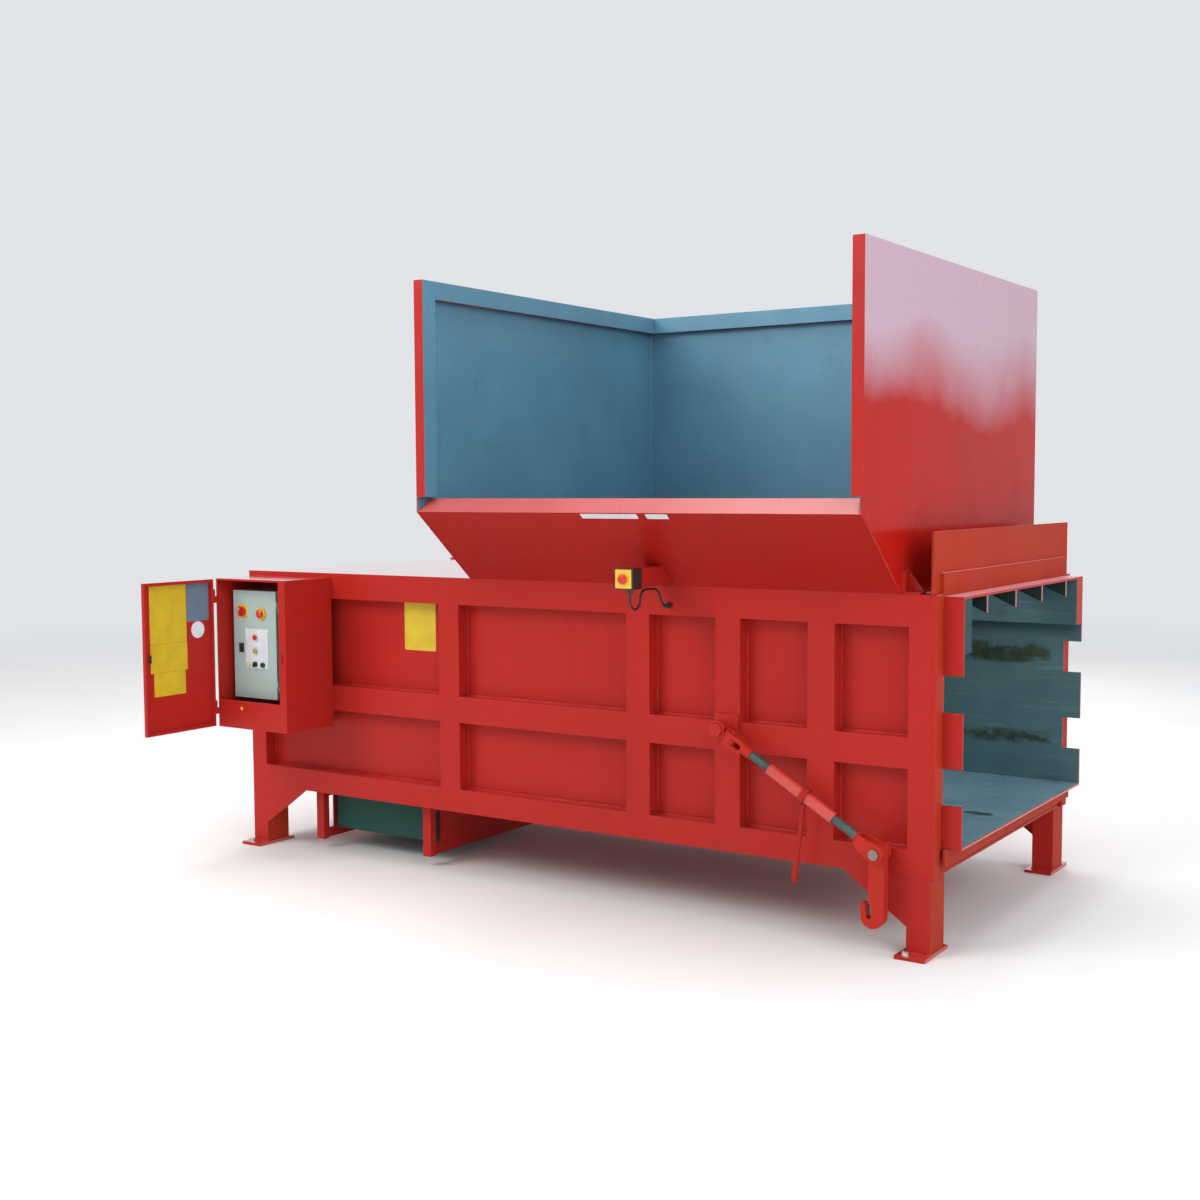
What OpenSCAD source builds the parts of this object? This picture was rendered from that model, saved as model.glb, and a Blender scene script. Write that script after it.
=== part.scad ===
// Static waste compactor: a charge chamber on four feet with a loading hopper,
// a control cabinet, a hydraulic ram and a turnbuckle clamp for the container.
// X runs along the machine to its mouth, -Y faces the operator, Z is up, and the
// origin lies on the floor in the middle of the four free anchor holes.

/* [Body] */
// Length over the end posts
body_l = 3776; // [3600:4:4000]
// Width over the side frames
body_w = 1740; // [1600:4:1900]
// Height of the side frames' top above the floor
body_top = 1450; // [1400:2:1520]
// Height of the sills' underside above the floor
sill_z = 318; // [300:2:340]
// Depth of the frame members across the machine
frame_d = 70; // [56:2:84]
// Width of the end posts
post_w = 100; // [90:2:120]
// Width of the upright ribs
rib_w = 120; // [90:2:140]
// Height of the sills
sill_h = 111; // [100:1:114]
// Height of the top rails
top_rail_h = 129; // [110:1:150]
// Height of the middle rails' underside above the sills' underside
mid_rail_rise = 436; // [400:2:460]
// Height of the middle rails
mid_rail_h = 126; // [100:2:150]
// Thickness of the chamber's side plates
wall_t = 10; // [6:1:16]
// Thickness of the chamber's floor plate
floor_t = 12; // [8:1:20]
// Height of the cross bearers under the floor
bearer_h = 115; // [115:1:130]

/* [Feet] */
// Depth of the leg section across the machine
leg_d = 150; // [120:2:180]
// Length of a foot plate along the machine
foot_l = 130; // [124:2:150]
// Depth of a foot plate across the machine
foot_d = 250; // [236:2:280]
// Thickness of a foot plate
foot_t = 15; // [10:1:25]
// Run of a gusset along the sill
gusset_l = 280; // [200:5:320]
// Height of a gusset down the leg
gusset_h = 200; // [150:5:230]
// Radius of a free anchor hole
anchor_r = 8; // [6:0.5:10]

/* [Mouth] */
// Length that the toothed side plates stand beyond the end posts
mouth_reach = 98; // [90:1:120]
// Depth of the notches between the teeth
notch_d = 82; // [40:1:86]
// Height of a notch
notch_h = 148; // [100:2:160]
// Height of the upstand plate over the frame
upstand_h = 247; // [150:1:300]
// Length of a retention claw
claw_l = 155; // [100:1:180]
// Height of a retention claw
claw_h = 72; // [50:1:90]

/* [Hopper] */
// Length of the hopper over its side panels
hopper_l = 2166; // [2000:2:2240]
// Height of the hopper over the frame
hopper_h = 1350; // [1100:10:1500]
// Length that the front lip stands out beyond the body
hopper_reach = 380; // [350:2:420]
// Height of the front lip over the frame
lip_rise = 320; // [300:2:360]
// Thickness of the hopper's sheet
hopper_t = 6; // [4:0.5:8]
// Thickness of the upper rims
rim_w = 50; // [30:1:60]
// Height of the upper rims
rim_h = 80; // [50:1:100]

/* [Cabinet] */
// Width of the control cabinet
cabinet_w = 480; // [470:2:520]
// Depth of the control cabinet
cabinet_d = 325; // [320:1:360]
// Height of the control cabinet
cabinet_h = 753; // [745:1:800]
// Thickness of the cabinet's sheet
cabinet_t = 4; // [2:0.5:5]
// Width of the control enclosure inside
box_w = 300; // [296:2:320]
// Height of the control enclosure
box_h = 545; // [530:1:548]
// Depth of the control enclosure without its door
box_d = 219; // [200:1:224]

/* [Power pack] */
// Width of a pack hanger along the machine
hanger_w = 50; // [40:1:56]
// Height of the oil tank
tank_h = 200; // [180:1:204]
// Depth of the oil tank
tank_d = 540; // [400:10:600]

/* [Ram] */
// Free length between the rear bulkhead and the ram
ram_space = 551; // [450:1:600]
// Height of the ram
ram_h = 757; // [700:1:762]
// Outer radius of the cylinder barrel
barrel_r = 85; // [80:1:100]
// Radius of the cylinder's middle stage
stage_r = 66; // [62:1:72]
// Radius of the piston rod
rod_r = 46; // [40:1:50]

/* [Clamp] */
// Slope of the stowed turnbuckle below level
clamp_slope = 31; // [28:1:33]
// Length of the threaded sleeve
sleeve_l = 338; // [320:2:360]
// Outer radius of the threaded sleeve
sleeve_r = 26; // [24:0.5:30]
// Radius of the threaded rods
thread_r = 18; // [15:0.5:20]
// Radius of the clevis pin
clevis_pin_r = 16; // [12:0.5:18]
// Height of the container hook from its pin to its foot
hook_h = 305; // [280:1:312]

/* [Hidden] */
$fn = 64;
// Overrun of every cut, and clearances of sliding, turning and running fits
cut = 1;
slip = 0.3;
run_fit = 0.05;
// Places of the ribs along the body, and of the bearers between its end bearers
rib_shares = [0.356, 0.639, 0.758, 0.873];
bearer_shares = [0, 0.0963, 0.2924, 0.479, 0.665, 0.845, 1];
// Drop of the chamber's wall tops below the frame, and thickness of the top plates
cover_drop = 18;
cover_t = 10;

// Places that the body's sizes give
half_l = body_l / 2;
half_w = body_w / 2;
wall_out = half_w - frame_d;
wall_in = wall_out - wall_t;
bearer_top = sill_z + bearer_h;
floor_top = bearer_top + floor_t;
wall_top = body_top - cover_drop;
cover_top = wall_top + cover_t;
mid_rail_z = sill_z + mid_rail_rise;
mouth_x = half_l + mouth_reach;
leg_x = half_l - post_w / 2;
rib_x = [for (s = rib_shares) s * body_l - half_l];

// Bearer channel: width and sheet
bearer_w = 100;
bearer_t = 8;
bearer_x = [for (s = bearer_shares) bearer_w / 2 - half_l + s * (body_l - bearer_w)];
// Feet: plate beyond the leg's rear side and outer side, gusset sheet
foot_back = 25;
foot_out = 65;
gusset_t = 10;
// Anchor bolts: shank, washer, hexagon head, and place from the leg's middle
bolt_r = 8;
bolt_head_r = 14;
bolt_head_h = 11;
washer_r = 17;
washer_t = 3;
bolt_back = 40;
// Mouth: heights of the notches' undersides over the floor plate, floor lip, plates
notch_rise = [165, 535];
floor_lip_h = 37;
lintel_l = 286;
claw_t = 15;
claw_shares = [-0.675, -0.225, 0.225, 0.675];
upstand_t = 10;
upstand_bar_t = 16;
upstand_bar_h = 91;
// Ram guides: width and height of the box rails under the top plates
guide_w = 80;
guide_h = 217;
// Rear bulkhead: plate, outside ribs and the lug of the cylinder
bulkhead_t = 12;
bulkhead_rib_w = 80;
bulkhead_rib_d = 40;
bulkhead_rib_shares = [0.3, 0.7];
lug_t = 30;
lug_r = 62;
cylinder_pin_r = 30;

// Helpers: a block between two limits on each axis, and shapes drawn in a
// plane and pushed along X or Y
module block(x, y, z) {
    translate([x[0], y[0], z[0]]) cube([x[1] - x[0], y[1] - y[0], z[1] - z[0]]);
}
module along_x(x) {
    translate([x[0], 0, 0]) rotate([90, 0, 90]) linear_extrude(x[1] - x[0]) children();
}
module along_y(y) {
    translate([0, y[1], 0]) rotate([90, 0, 0]) linear_extrude(y[1] - y[0]) children();
}
module rod_x(r, x) {
    translate([x[0], 0, 0]) rotate([0, 90, 0]) cylinder(h = x[1] - x[0], r = r);
}
module rod_y(r, y) {
    translate([0, y[1], 0]) rotate([90, 0, 0]) cylinder(h = y[1] - y[0], r = r);
}
module both_sides() {
    children();
    mirror([0, 1, 0]) children();
}

// Chamber walls: plates with hooked teeth at the mouth
module side_wall() {
    notches = [for (n = notch_rise) [floor_top + n, floor_top + n + notch_h]];
    along_y([-wall_out, -wall_in]) difference() {
        polygon([
            [-half_l, bearer_top],
            [mouth_x, bearer_top],
            [mouth_x, wall_top],
            [-half_l, wall_top],
        ]);
        for (n = notches)
            translate([mouth_x - notch_d, n[0]]) square([notch_d + cut, n[1] - n[0]]);
    }
}
module near_side_wall() {
    color("firebrick") side_wall();
}
module far_side_wall() {
    color("firebrick") mirror([0, 1, 0]) side_wall();
}

// Side frames: posts, sill, top rail, ribs and middle rails welded face to face
module side_frame() {
    deep = [-half_w, -wall_out];
    inside = [-half_l + post_w, half_l - post_w];
    rails_z = [sill_z + sill_h, body_top - top_rail_h];
    starts = concat([inside[0]], [for (x = rib_x) x + rib_w / 2]);
    ends = concat([for (x = rib_x) x - rib_w / 2], [inside[1]]);
    for (x = [-half_l, inside[1]])
        block([x, x + post_w], deep, [sill_z, body_top]);
    block(inside, deep, [sill_z, rails_z[0]]);
    block(inside, deep, [rails_z[1], body_top]);
    for (x = rib_x)
        block([x - rib_w / 2, x + rib_w / 2], deep, rails_z);
    for (i = [0 : len(starts) - 1])
        block([starts[i], ends[i]], deep, [mid_rail_z, mid_rail_z + mid_rail_h]);
}
module near_side_frame() {
    color("crimson") side_frame();
}
module far_side_frame() {
    color("crimson") mirror([0, 1, 0]) side_frame();
}

// Legs with their gussets, on foot plates with one bolted and one free hole each
module leg(side) {
    x = side * leg_x;
    inner = x - side * post_w / 2;
    block([x - post_w / 2, x + post_w / 2], [-half_w, leg_d - half_w], [foot_t, sill_z]);
    along_y([-half_w, gusset_t - half_w]) polygon([
        [inner, sill_z],
        [inner - side * gusset_l, sill_z],
        [inner, sill_z - gusset_h],
    ]);
}
module legs() {
    color("crimson") both_sides() for (side = [-1, 1]) leg(side);
}
free_hole_y = half_w - leg_d - (foot_d - foot_out - leg_d) / 2;
bolt_y = half_w + foot_out / 2;
module foot_plate(side) {
    x = side * leg_x;
    start = x - post_w / 2 - foot_back;
    difference() {
        block([start, start + foot_l], [-half_w - foot_out, foot_d - half_w - foot_out], [0, foot_t]);
        translate([x, -free_hole_y, -cut]) cylinder(h = foot_t + cut + cut, r = anchor_r);
        translate([x - bolt_back, -bolt_y, -cut]) cylinder(h = foot_t + cut + cut, r = bolt_r + slip);
    }
}
module foot_plates() {
    color("crimson") both_sides() for (side = [-1, 1]) foot_plate(side);
}
module anchor_bolt() {
    cylinder(h = foot_t, r = bolt_r);
    translate([0, 0, foot_t]) cylinder(h = washer_t, r = washer_r);
    translate([0, 0, foot_t + washer_t]) cylinder(h = bolt_head_h, r = bolt_head_r, $fn = 6);
}
module anchor_bolts() {
    color("silver") both_sides() for (side = [-1, 1])
        translate([side * leg_x - bolt_back, -bolt_y, 0]) anchor_bolt();
}

// Floor plate with its turned-down lip, on channel bearers
module chamber_floor() {
    color("slategray") along_y([-wall_in, wall_in]) polygon([
        [bulkhead_t - half_l, bearer_top],
        [mouth_x - floor_t, bearer_top],
        [mouth_x - floor_t, bearer_top - floor_lip_h],
        [mouth_x, bearer_top - floor_lip_h],
        [mouth_x, floor_top],
        [bulkhead_t - half_l, floor_top],
    ]);
}
module floor_bearers() {
    color("crimson") for (x = bearer_x) difference() {
        block([x - bearer_w / 2, x + bearer_w / 2], [-wall_out, wall_out], [sill_z, bearer_top]);
        block([x - bearer_w / 2 + bearer_t, x + bearer_w / 2 + cut], [-wall_out - cut, wall_out + cut],
              [sill_z + bearer_t, bearer_top - bearer_t]);
    }
}

// Rear bulkhead with outside ribs and the lug that holds the cylinder
cylinder_z = floor_top + (ram_h / 2) - lug_t;
lug_x = bulkhead_t - half_l + lug_r + lug_t;
module rear_bulkhead() {
    color("crimson") {
        block([-half_l, bulkhead_t - half_l], [-wall_in, wall_in], [bearer_top, wall_top]);
        for (s = bulkhead_rib_shares) {
            y = wall_in * (s + s - 1);
            block([-half_l - bulkhead_rib_d, bulkhead_t - half_l],
                  [y - bulkhead_rib_w / 2, y + bulkhead_rib_w / 2],
                  [bearer_top, wall_top]);
        }
        for (y = [-lug_r, lug_r])
            along_y([y - lug_t / 2, y + lug_t / 2]) difference() {
                union() {
                    translate([-half_l, cylinder_z - lug_r]) square([lug_x + half_l, lug_r + lug_r]);
                    translate([lug_x, cylinder_z]) circle(r = lug_r);
                }
                translate([lug_x, cylinder_z]) circle(r = cylinder_pin_r + run_fit);
            }
    }
}

// Hopper: gap to the mouth's end post, inset of the back sheet, folds and stiffeners
hopper_gap = 131;
back_inset = 25;
lip_fold_in = 80;
lip_fold_up = 60;
stiffener_w = 90;
stiffener_rise = 66;
hopper_foot_l = 73;
hopper_foot_h = 90;
hopper_foot_t = 8;
lifting_hole_r = 8;

hopper_x1 = half_l - hopper_gap;
hopper_x0 = hopper_x1 - hopper_l;
hopper_front = -half_w - hopper_reach;
hopper_back = wall_in - back_inset;
hopper_top = body_top + hopper_h;
lip_z = body_top + lip_rise;

// Top plates of the chamber, before and behind the hopper
module rear_cover() {
    color("crimson")
        block([-half_l, hopper_x0 + rim_w], [-wall_out, wall_out], [wall_top, cover_top]);
}
module guide_rails() {
    color("slategray") both_sides()
        block([bulkhead_t - half_l, mouth_x], [-wall_in, guide_w - wall_in], [wall_top - guide_h, wall_top]);
}
module mouth_lintel() {
    color("crimson")
        block([mouth_x - lintel_l, mouth_x], [-wall_out, wall_out], [wall_top, cover_top]);
}
module retention_claws() {
    color("crimson") for (s = claw_shares)
        translate([0, s * wall_in, 0]) along_y([-claw_t / 2, claw_t / 2]) polygon([
            [mouth_x, wall_top],
            [mouth_x, wall_top - claw_h],
            [mouth_x - claw_l, wall_top],
        ]);
}
module mouth_upstand() {
    color("crimson") {
        block([half_l - upstand_t, half_l], [-half_w, half_w], [body_top, body_top + upstand_h]);
        block([half_l, half_l + upstand_bar_t], [-wall_out, wall_out],
              [cover_top, cover_top + upstand_bar_h]);
    }
}

// Hopper side panel: a sheet with a rim along its top and a stiffener up its front edge
module hopper_side(x_out, side) {
    function inward(depth) = side > 0 ? [x_out, x_out + depth] : [x_out - depth, x_out];
    rim_z = hopper_top - rim_h;
    along_x(inward(hopper_t)) polygon([
        [hopper_front, hopper_top],
        [hopper_back, hopper_top],
        [hopper_back, cover_top],
        [-wall_out, cover_top],
        [-wall_out, body_top],
        [-half_w, body_top],
        [hopper_front, lip_z],
    ]);
    block(inward(rim_w), [hopper_front, hopper_back], [rim_z, hopper_top]);
    block(inward(rim_w), [hopper_front, hopper_front + stiffener_w], [lip_z + stiffener_rise, rim_z]);
}
module hopper_left_panel() {
    color("lightpink") hopper_side(hopper_x0, 1);
}
module hopper_right_panel() {
    color("lightpink") {
        hopper_side(hopper_x1, -1);
        hopper_foot();
    }
}
module hopper_back_panel() {
    rim_z = hopper_top - rim_h;
    color("lightpink") {
        block([hopper_x0 + hopper_t, hopper_x1 - hopper_t], [hopper_back - hopper_t, hopper_back],
              [cover_top, rim_z]);
        block([hopper_x0 + rim_w, mouth_x - lintel_l], [hopper_back - hopper_t, hopper_back],
              [wall_top, cover_top]);
        block([hopper_x0 + rim_w, hopper_x1 - rim_w], [hopper_back - rim_w, hopper_back],
              [rim_z, hopper_top]);
    }
}
// Foot bracket of the right panel on the near top rail, with a lifting hole
module hopper_foot() {
    foot_y = [hopper_foot_t - half_w, -wall_out];
    difference() {
        union() {
            block([hopper_x1, hopper_x1 + hopper_foot_l], foot_y, [body_top, body_top + hopper_foot_t]);
            block([hopper_x1, hopper_x1 + hopper_foot_t], foot_y, [body_top, body_top + hopper_foot_h]);
            along_y([-wall_out - hopper_foot_t, -wall_out]) polygon([
                [hopper_x1, body_top],
                [hopper_x1 + hopper_foot_l, body_top],
                [hopper_x1, body_top + hopper_foot_h],
            ]);
        }
        translate([hopper_x1 + hopper_foot_l / 2,
                   (foot_y[0] + foot_y[1] - hopper_foot_t) / 2, body_top - cut])
            cylinder(h = hopper_foot_t + cut + cut, r = lifting_hole_r);
    }
}

// Folded chute: a sheet of even thickness along an outline in the YZ plane
function unit(v) = v / norm(v);
function right_of(a, b) = let (d = unit(b - a)) [d.y, -d.x];
function mitre(n, m) = (n + m) / (1 + n * m);
function bend_normal(p, i) =
    i == 0 ? right_of(p[0], p[1]) :
    i == len(p) - 1 ? right_of(p[i - 1], p[i]) :
    mitre(right_of(p[i - 1], p[i]), right_of(p[i], p[i + 1]));
function inner_face(p, t) = [for (i = [len(p) - 1 : -1 : 0]) p[i] + t * bend_normal(p, i)];
chute_path = [
    [-wall_in, body_top],
    [-half_w, body_top],
    [hopper_front, lip_z],
    [hopper_front + lip_fold_in, lip_z + lip_fold_up],
];
module hopper_front_chute() {
    color("crimson") along_x([hopper_x0 + hopper_t, hopper_x1 - hopper_t])
        polygon(concat(chute_path, inner_face(chute_path, hopper_t)));
}

// Ram: a box open at the rear, on wear pads, with a lug for the piston rod
ram_setback = 16;
ram_t = 12;
pad_t = 3;
side_pad_t = 5;
pad_w = 80;
pad_share = 0.267;
pad_shares = [0.16, 0.84];
ram_x1 = hopper_x0 - ram_setback;
ram_x0 = bulkhead_t - half_l + ram_space;
ram_l = ram_x1 - ram_x0;
pad_l = pad_share * ram_l;
ram_z0 = floor_top + pad_t;
ram_half_w = wall_in - side_pad_t;
rod_lug_l = 60;
module ram_body() {
    color("gray") {
        difference() {
            block([ram_x0, ram_x1], [-ram_half_w, ram_half_w], [ram_z0, ram_z0 + ram_h]);
            block([ram_x0 - cut, ram_x1 - ram_t], [ram_t - ram_half_w, ram_half_w - ram_t],
                  [ram_z0 + ram_t, ram_z0 + ram_h - ram_t]);
        }
        translate([0, 0, cylinder_z]) difference() {
            rod_x(rod_r + ram_t, [ram_x1 - ram_t - rod_lug_l, ram_x1 - ram_t]);
            rod_x(rod_r, [ram_x1 - ram_t - rod_lug_l - cut, ram_x1 - ram_t]);
        }
    }
}
module ram_pads() {
    color("tan") both_sides() for (s = pad_shares) {
        x = ram_x0 + s * ram_l;
        block([x - pad_l / 2, x + pad_l / 2], [-ram_half_w, pad_w - ram_half_w], [floor_top, ram_z0]);
        block([x - pad_l / 2, x + pad_l / 2], [slip - wall_in, -ram_half_w],
              [ram_z0 + ram_h / 2 - pad_w / 2, ram_z0 + ram_h / 2 + pad_w / 2]);
    }
}

// Two-stage cylinder: barrel pinned to the bulkhead, middle stage and piston rod
barrel_cap_l = 40;
barrel_eye_r = 54;
stage_step = 20;
gland_l = 60;
barrel_x0 = lug_x + lug_r + slip;
barrel_x1 = ram_x1 - ram_t - rod_lug_l - gland_l - stage_step;
stage_x0 = barrel_x0 + barrel_cap_l + stage_step;
rod_x0 = stage_x0 + barrel_cap_l;
module tube_x(r, bore, x) {
    difference() {
        rod_x(r, x);
        rod_x(bore, [x[0] - cut, x[1] + cut]);
    }
}
module cylinder_pin() {
    color("silver") translate([lug_x, 0, cylinder_z])
        rod_y(cylinder_pin_r, [-lug_r - lug_t, lug_r + lug_t]);
}
module cylinder_barrel() {
    eye_half = lug_r - lug_t / 2 - slip;
    color("dimgray") translate([0, 0, cylinder_z]) {
        difference() {
            union() {
                rod_x(barrel_r, [barrel_x0, barrel_x0 + barrel_cap_l]);
                block([lug_x, barrel_x0], [-eye_half, eye_half], [-barrel_eye_r, barrel_eye_r]);
                translate([lug_x, 0, 0]) rod_y(barrel_eye_r, [-eye_half, eye_half]);
            }
            translate([lug_x, 0, 0]) rod_y(cylinder_pin_r + run_fit, [-eye_half - cut, eye_half + cut]);
        }
        tube_x(barrel_r, stage_r + slip, [barrel_x0 + barrel_cap_l, barrel_x1]);
    }
}
module cylinder_stage() {
    color("silver") translate([0, 0, cylinder_z])
        tube_x(stage_r, rod_r + slip, [stage_x0, barrel_x1 + stage_step]);
}
module cylinder_rod() {
    color("silver") translate([0, 0, cylinder_z]) rod_x(rod_r, [rod_x0, ram_x1 - ram_t]);
}

// Power pack: hangers under two bearers, an oil tank between them, pump and motor
hanger_web_t = 12;
hanger_foot_z = 52;
hanger_strap_d = 40;
hanger_inset = 80;
hanger_l = 877;
hanger_window_w = 60;
hanger_window_margin = 48;
tank_inset = 70;
tank_drop = 8;
tank_gap = 48;
tank_lid_t = 6;
tank_tab_w = 60;
tank_tab_h = 40;
tank_tab_shares = [0.25, 0.75];
bell_r = 66;
bell_l = 80;
motor_r = 82;
motor_l = 300;
fin_count = 18;
fin_t = 5;
fin_h = 8;
fan_cover_l = 70;
fan_lip = 4;
hanger_x = [bearer_x[1], bearer_x[2]];
hanger_y0 = hanger_inset - half_w;
tank_x = [hanger_x[0] + hanger_web_t / 2 + tank_gap, hanger_x[1] - hanger_web_t / 2 - run_fit];
tank_y = [hanger_y0 + tank_inset, hanger_y0 + tank_inset + tank_d];
tank_z = [sill_z - tank_drop - tank_h, sill_z - tank_drop];
module pack_hangers() {
    window_y = hanger_y0 + hanger_strap_d;
    color("crimson") for (x = hanger_x) {
        block([x - hanger_w / 2, x + hanger_w / 2], [hanger_y0, window_y], [hanger_foot_z, sill_z]);
        difference() {
            block([x - hanger_web_t / 2, x + hanger_web_t / 2], [window_y, hanger_y0 + hanger_l],
                  [hanger_foot_z, sill_z]);
            block([x - hanger_w / 2, x + hanger_w / 2], [window_y + cut, window_y + hanger_window_w],
                  [hanger_foot_z + hanger_window_margin, sill_z - hanger_window_margin]);
        }
    }
}
module oil_tank() {
    color("darkslategray") {
        block(tank_x, tank_y, [tank_z[0], tank_z[1] - tank_lid_t]);
        block(tank_x, [tank_y[0] - tank_lid_t, tank_y[1] + tank_lid_t], [tank_z[1] - tank_lid_t, tank_z[1]]);
        for (s = tank_tab_shares) {
            y = tank_y[0] + s * tank_d;
            block([tank_x[0] - tank_gap + run_fit, tank_x[0]], [y - tank_tab_w / 2, y + tank_tab_w / 2],
                  [tank_z[0], tank_z[0] + tank_tab_h]);
        }
    }
}
motor_x = (tank_x[0] + tank_x[1]) / 2;
motor_y = tank_y[1] + bell_l;
motor_z = (tank_z[0] + tank_z[1]) / 2;
module gear_pump() {
    color("dimgray") translate([motor_x, 0, motor_z]) rod_y(bell_r, [tank_y[1], motor_y]);
}
module motor_section() {
    circle(r = motor_r);
    for (i = [0 : fin_count - 1])
        rotate(i * 360 / fin_count) translate([0, -fin_t / 2]) square([motor_r + fin_h, fin_t]);
}
module pump_motor() {
    color("steelblue") translate([motor_x, motor_y, motor_z]) {
        along_y([0, motor_l - fan_cover_l]) motor_section();
        rod_y(motor_r + fin_h + fan_lip, [motor_l - fan_cover_l, motor_l]);
    }
}

// Control cabinet: place on the frame, strips round its front opening, hinges
cabinet_inset = 104;
cabinet_drop = 22;
front_strip = 10;
lock_strip = 46;
bottom_strip = 140;
hinge_r = 8;
hinge_pin_r = 4;
hinge_out = 11;
hinge_side = 8;
hinge_h = 34;
hinge_leaf_t = 4;
hinge_leaf_l = 40;
hinge_shares = [0.13, 0.88];
catch_w = 14;
catch_d = 10;
catch_h = 40;
lock_rise = 370;
cabinet_x0 = cabinet_inset - half_l;
cabinet_x1 = cabinet_x0 + cabinet_w;
cabinet_top = body_top - cabinet_drop;
cabinet_z0 = cabinet_top - cabinet_h;
cabinet_front = -half_w - cabinet_d;
opening_x = [cabinet_x0 + front_strip, cabinet_x1 - lock_strip];
opening_z = [cabinet_z0 + bottom_strip, cabinet_top - front_strip];
hinge_x = cabinet_x0 - hinge_side;
hinge_y = cabinet_front - hinge_out;
hinge_z = [for (s = hinge_shares) cabinet_z0 + s * cabinet_h];
lock_z = cabinet_z0 + lock_rise;
module control_cabinet() {
    color("crimson") {
        difference() {
            block([cabinet_x0, cabinet_x1], [cabinet_front, -half_w], [cabinet_z0, cabinet_top]);
            block([cabinet_x0 + cabinet_t, cabinet_x1 - cabinet_t],
                  [cabinet_front + cabinet_t, -half_w - cabinet_t],
                  [cabinet_z0 + cabinet_t, cabinet_top - cabinet_t]);
            block(opening_x, [cabinet_front - cut, cabinet_front + cabinet_t + cut], opening_z);
        }
        block([opening_x[1] + catch_d, opening_x[1] + catch_d + catch_w],
              [cabinet_front - catch_d, cabinet_front],
              [lock_z - catch_h / 2, lock_z + catch_h / 2]);
        for (z = hinge_z) {
            translate([hinge_x, hinge_y, z - hinge_h]) cylinder(h = hinge_h, r = hinge_r);
            translate([hinge_x, hinge_y, z - hinge_h]) cylinder(h = hinge_h + hinge_h, r = hinge_pin_r);
            block([cabinet_x0 - hinge_leaf_t, cabinet_x0], [hinge_y, cabinet_front + hinge_leaf_l],
                  [z - hinge_h, z]);
        }
    }
}

// Cabinet door, standing open: a pan with folded edges, hinge sleeves and a lock
door_t = 20;
door_sheet = 3;
door_rim = 14;
door_gap = 9;
door_lap = 4;
door_margin = 4;
lock_inset = 18;
lock_r = 14;
lock_shaft_r = 7;
lock_head_t = 6;
cam_w = 12;
cam_t = 4;
cam_l = 32;
door_len = opening_x[1] - hinge_x + door_lap;
door_x = [hinge_x - door_t / 2, hinge_x + door_t / 2];
door_y = [hinge_y - door_len, hinge_y - door_gap];
door_z = [cabinet_z0 + door_margin, cabinet_top - door_margin];
lock_y = hinge_y - (opening_x[1] - lock_inset - hinge_x);
cam_x = hinge_x + hinge_out + cabinet_t + cut;
module cabinet_door() {
    color("crimson") difference() {
        union() {
            difference() {
                block(door_x, door_y, door_z);
                block([door_x[0] + door_sheet, door_x[1] + cut], [door_y[0] + door_rim, door_y[1] - door_rim],
                      [door_z[0] + door_rim, door_z[1] - door_rim]);
            }
            for (z = hinge_z) {
                translate([hinge_x, hinge_y, z + slip]) cylinder(h = hinge_h, r = hinge_r);
                block([hinge_x - hinge_leaf_t / 2, hinge_x + hinge_leaf_t / 2], [door_y[1] - cut, hinge_y],
                      [z + slip, z + slip + hinge_h]);
            }
        }
        for (z = hinge_z)
            translate([hinge_x, hinge_y, z]) cylinder(h = hinge_h + hinge_h, r = hinge_pin_r + run_fit);
        translate([0, lock_y, lock_z]) rod_x(lock_shaft_r + slip, [door_x[0] - cut, door_x[1] + cut]);
    }
}
module door_lock() {
    color("black") translate([0, lock_y, lock_z]) {
        rod_x(lock_r, [door_x[0] - slip - lock_head_t, door_x[0] - slip]);
        rod_x(lock_shaft_r, [door_x[0] - slip, cam_x + cam_t]);
        block([cam_x, cam_x + cam_t], [-cam_w / 2, cam_w / 2], [-cam_w / 2, cam_l]);
    }
}

// Control enclosure on the cabinet's back, with a pan door that carries the controls
box_inset = 29;
box_drop = 63;
box_t = 3;
panel_t = 15;
panel_sheet = 2;
panel_rim = 10;
plate_t = 2;
gear_plate_margin = 30;
gear_size = [70, 80, 90];
gear_shares = [[0.3, 0.72], [0.7, 0.72], [0.5, 0.3]];
isolator_share = [0.223, 0.8051];
estop_share = [0.667, 0.7906];
control_plate_shares = [[0.28, 0.2805], [0.81, 0.6475]];
stop_share = [0.53, 0.5687];
start_share = [0.53, 0.4423];
lamp_share = [0.36, 0.3178];
selector_share = [0.517, 0.3189];
key_share = [0.69, 0.3158];
box_lock_share = [0.193, 0.4661];
isolator_plate_w = 64;
isolator_r = 24;
isolator_shaft_r = 8;
isolator_t = 10;
grip_w = 13;
grip_h = 16;
collar_r = 31;
collar_t = 8;
mushroom_r = 20;
mushroom_t = 12;
mushroom_lift = 6;
mushroom_stem_r = 10;
bezel_r = 17;
bezel_t = 6;
button_r = 13;
button_t = 8;
button_lift = 4;
button_stem_r = 5;
stem_l = 20;
lamp_r = 10;
lamp_t = 9;
turn_r = 13;
turn_t = 9;
key_slot_w = 3;
key_slot_d = 4;
box_lock_w = 25;
box_lock_h = 45;
box_lock_t = 9;
panel_hinge_r = 5;
panel_pin_r = 2.5;
panel_hinge_h = 25;
panel_hinge_shares = [0.12, 0.86];
box_x0 = cabinet_x0 + box_inset;
box_x1 = box_x0 + box_w;
box_z1 = cabinet_top - box_drop;
box_z0 = box_z1 - box_h;
box_back = -half_w - cabinet_t;
box_front = box_back - box_d;
panel_front = box_front - slip - panel_t;
panel_hinge_x = box_x1 + slip + panel_hinge_r;
panel_hinge_y = box_front;
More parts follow.
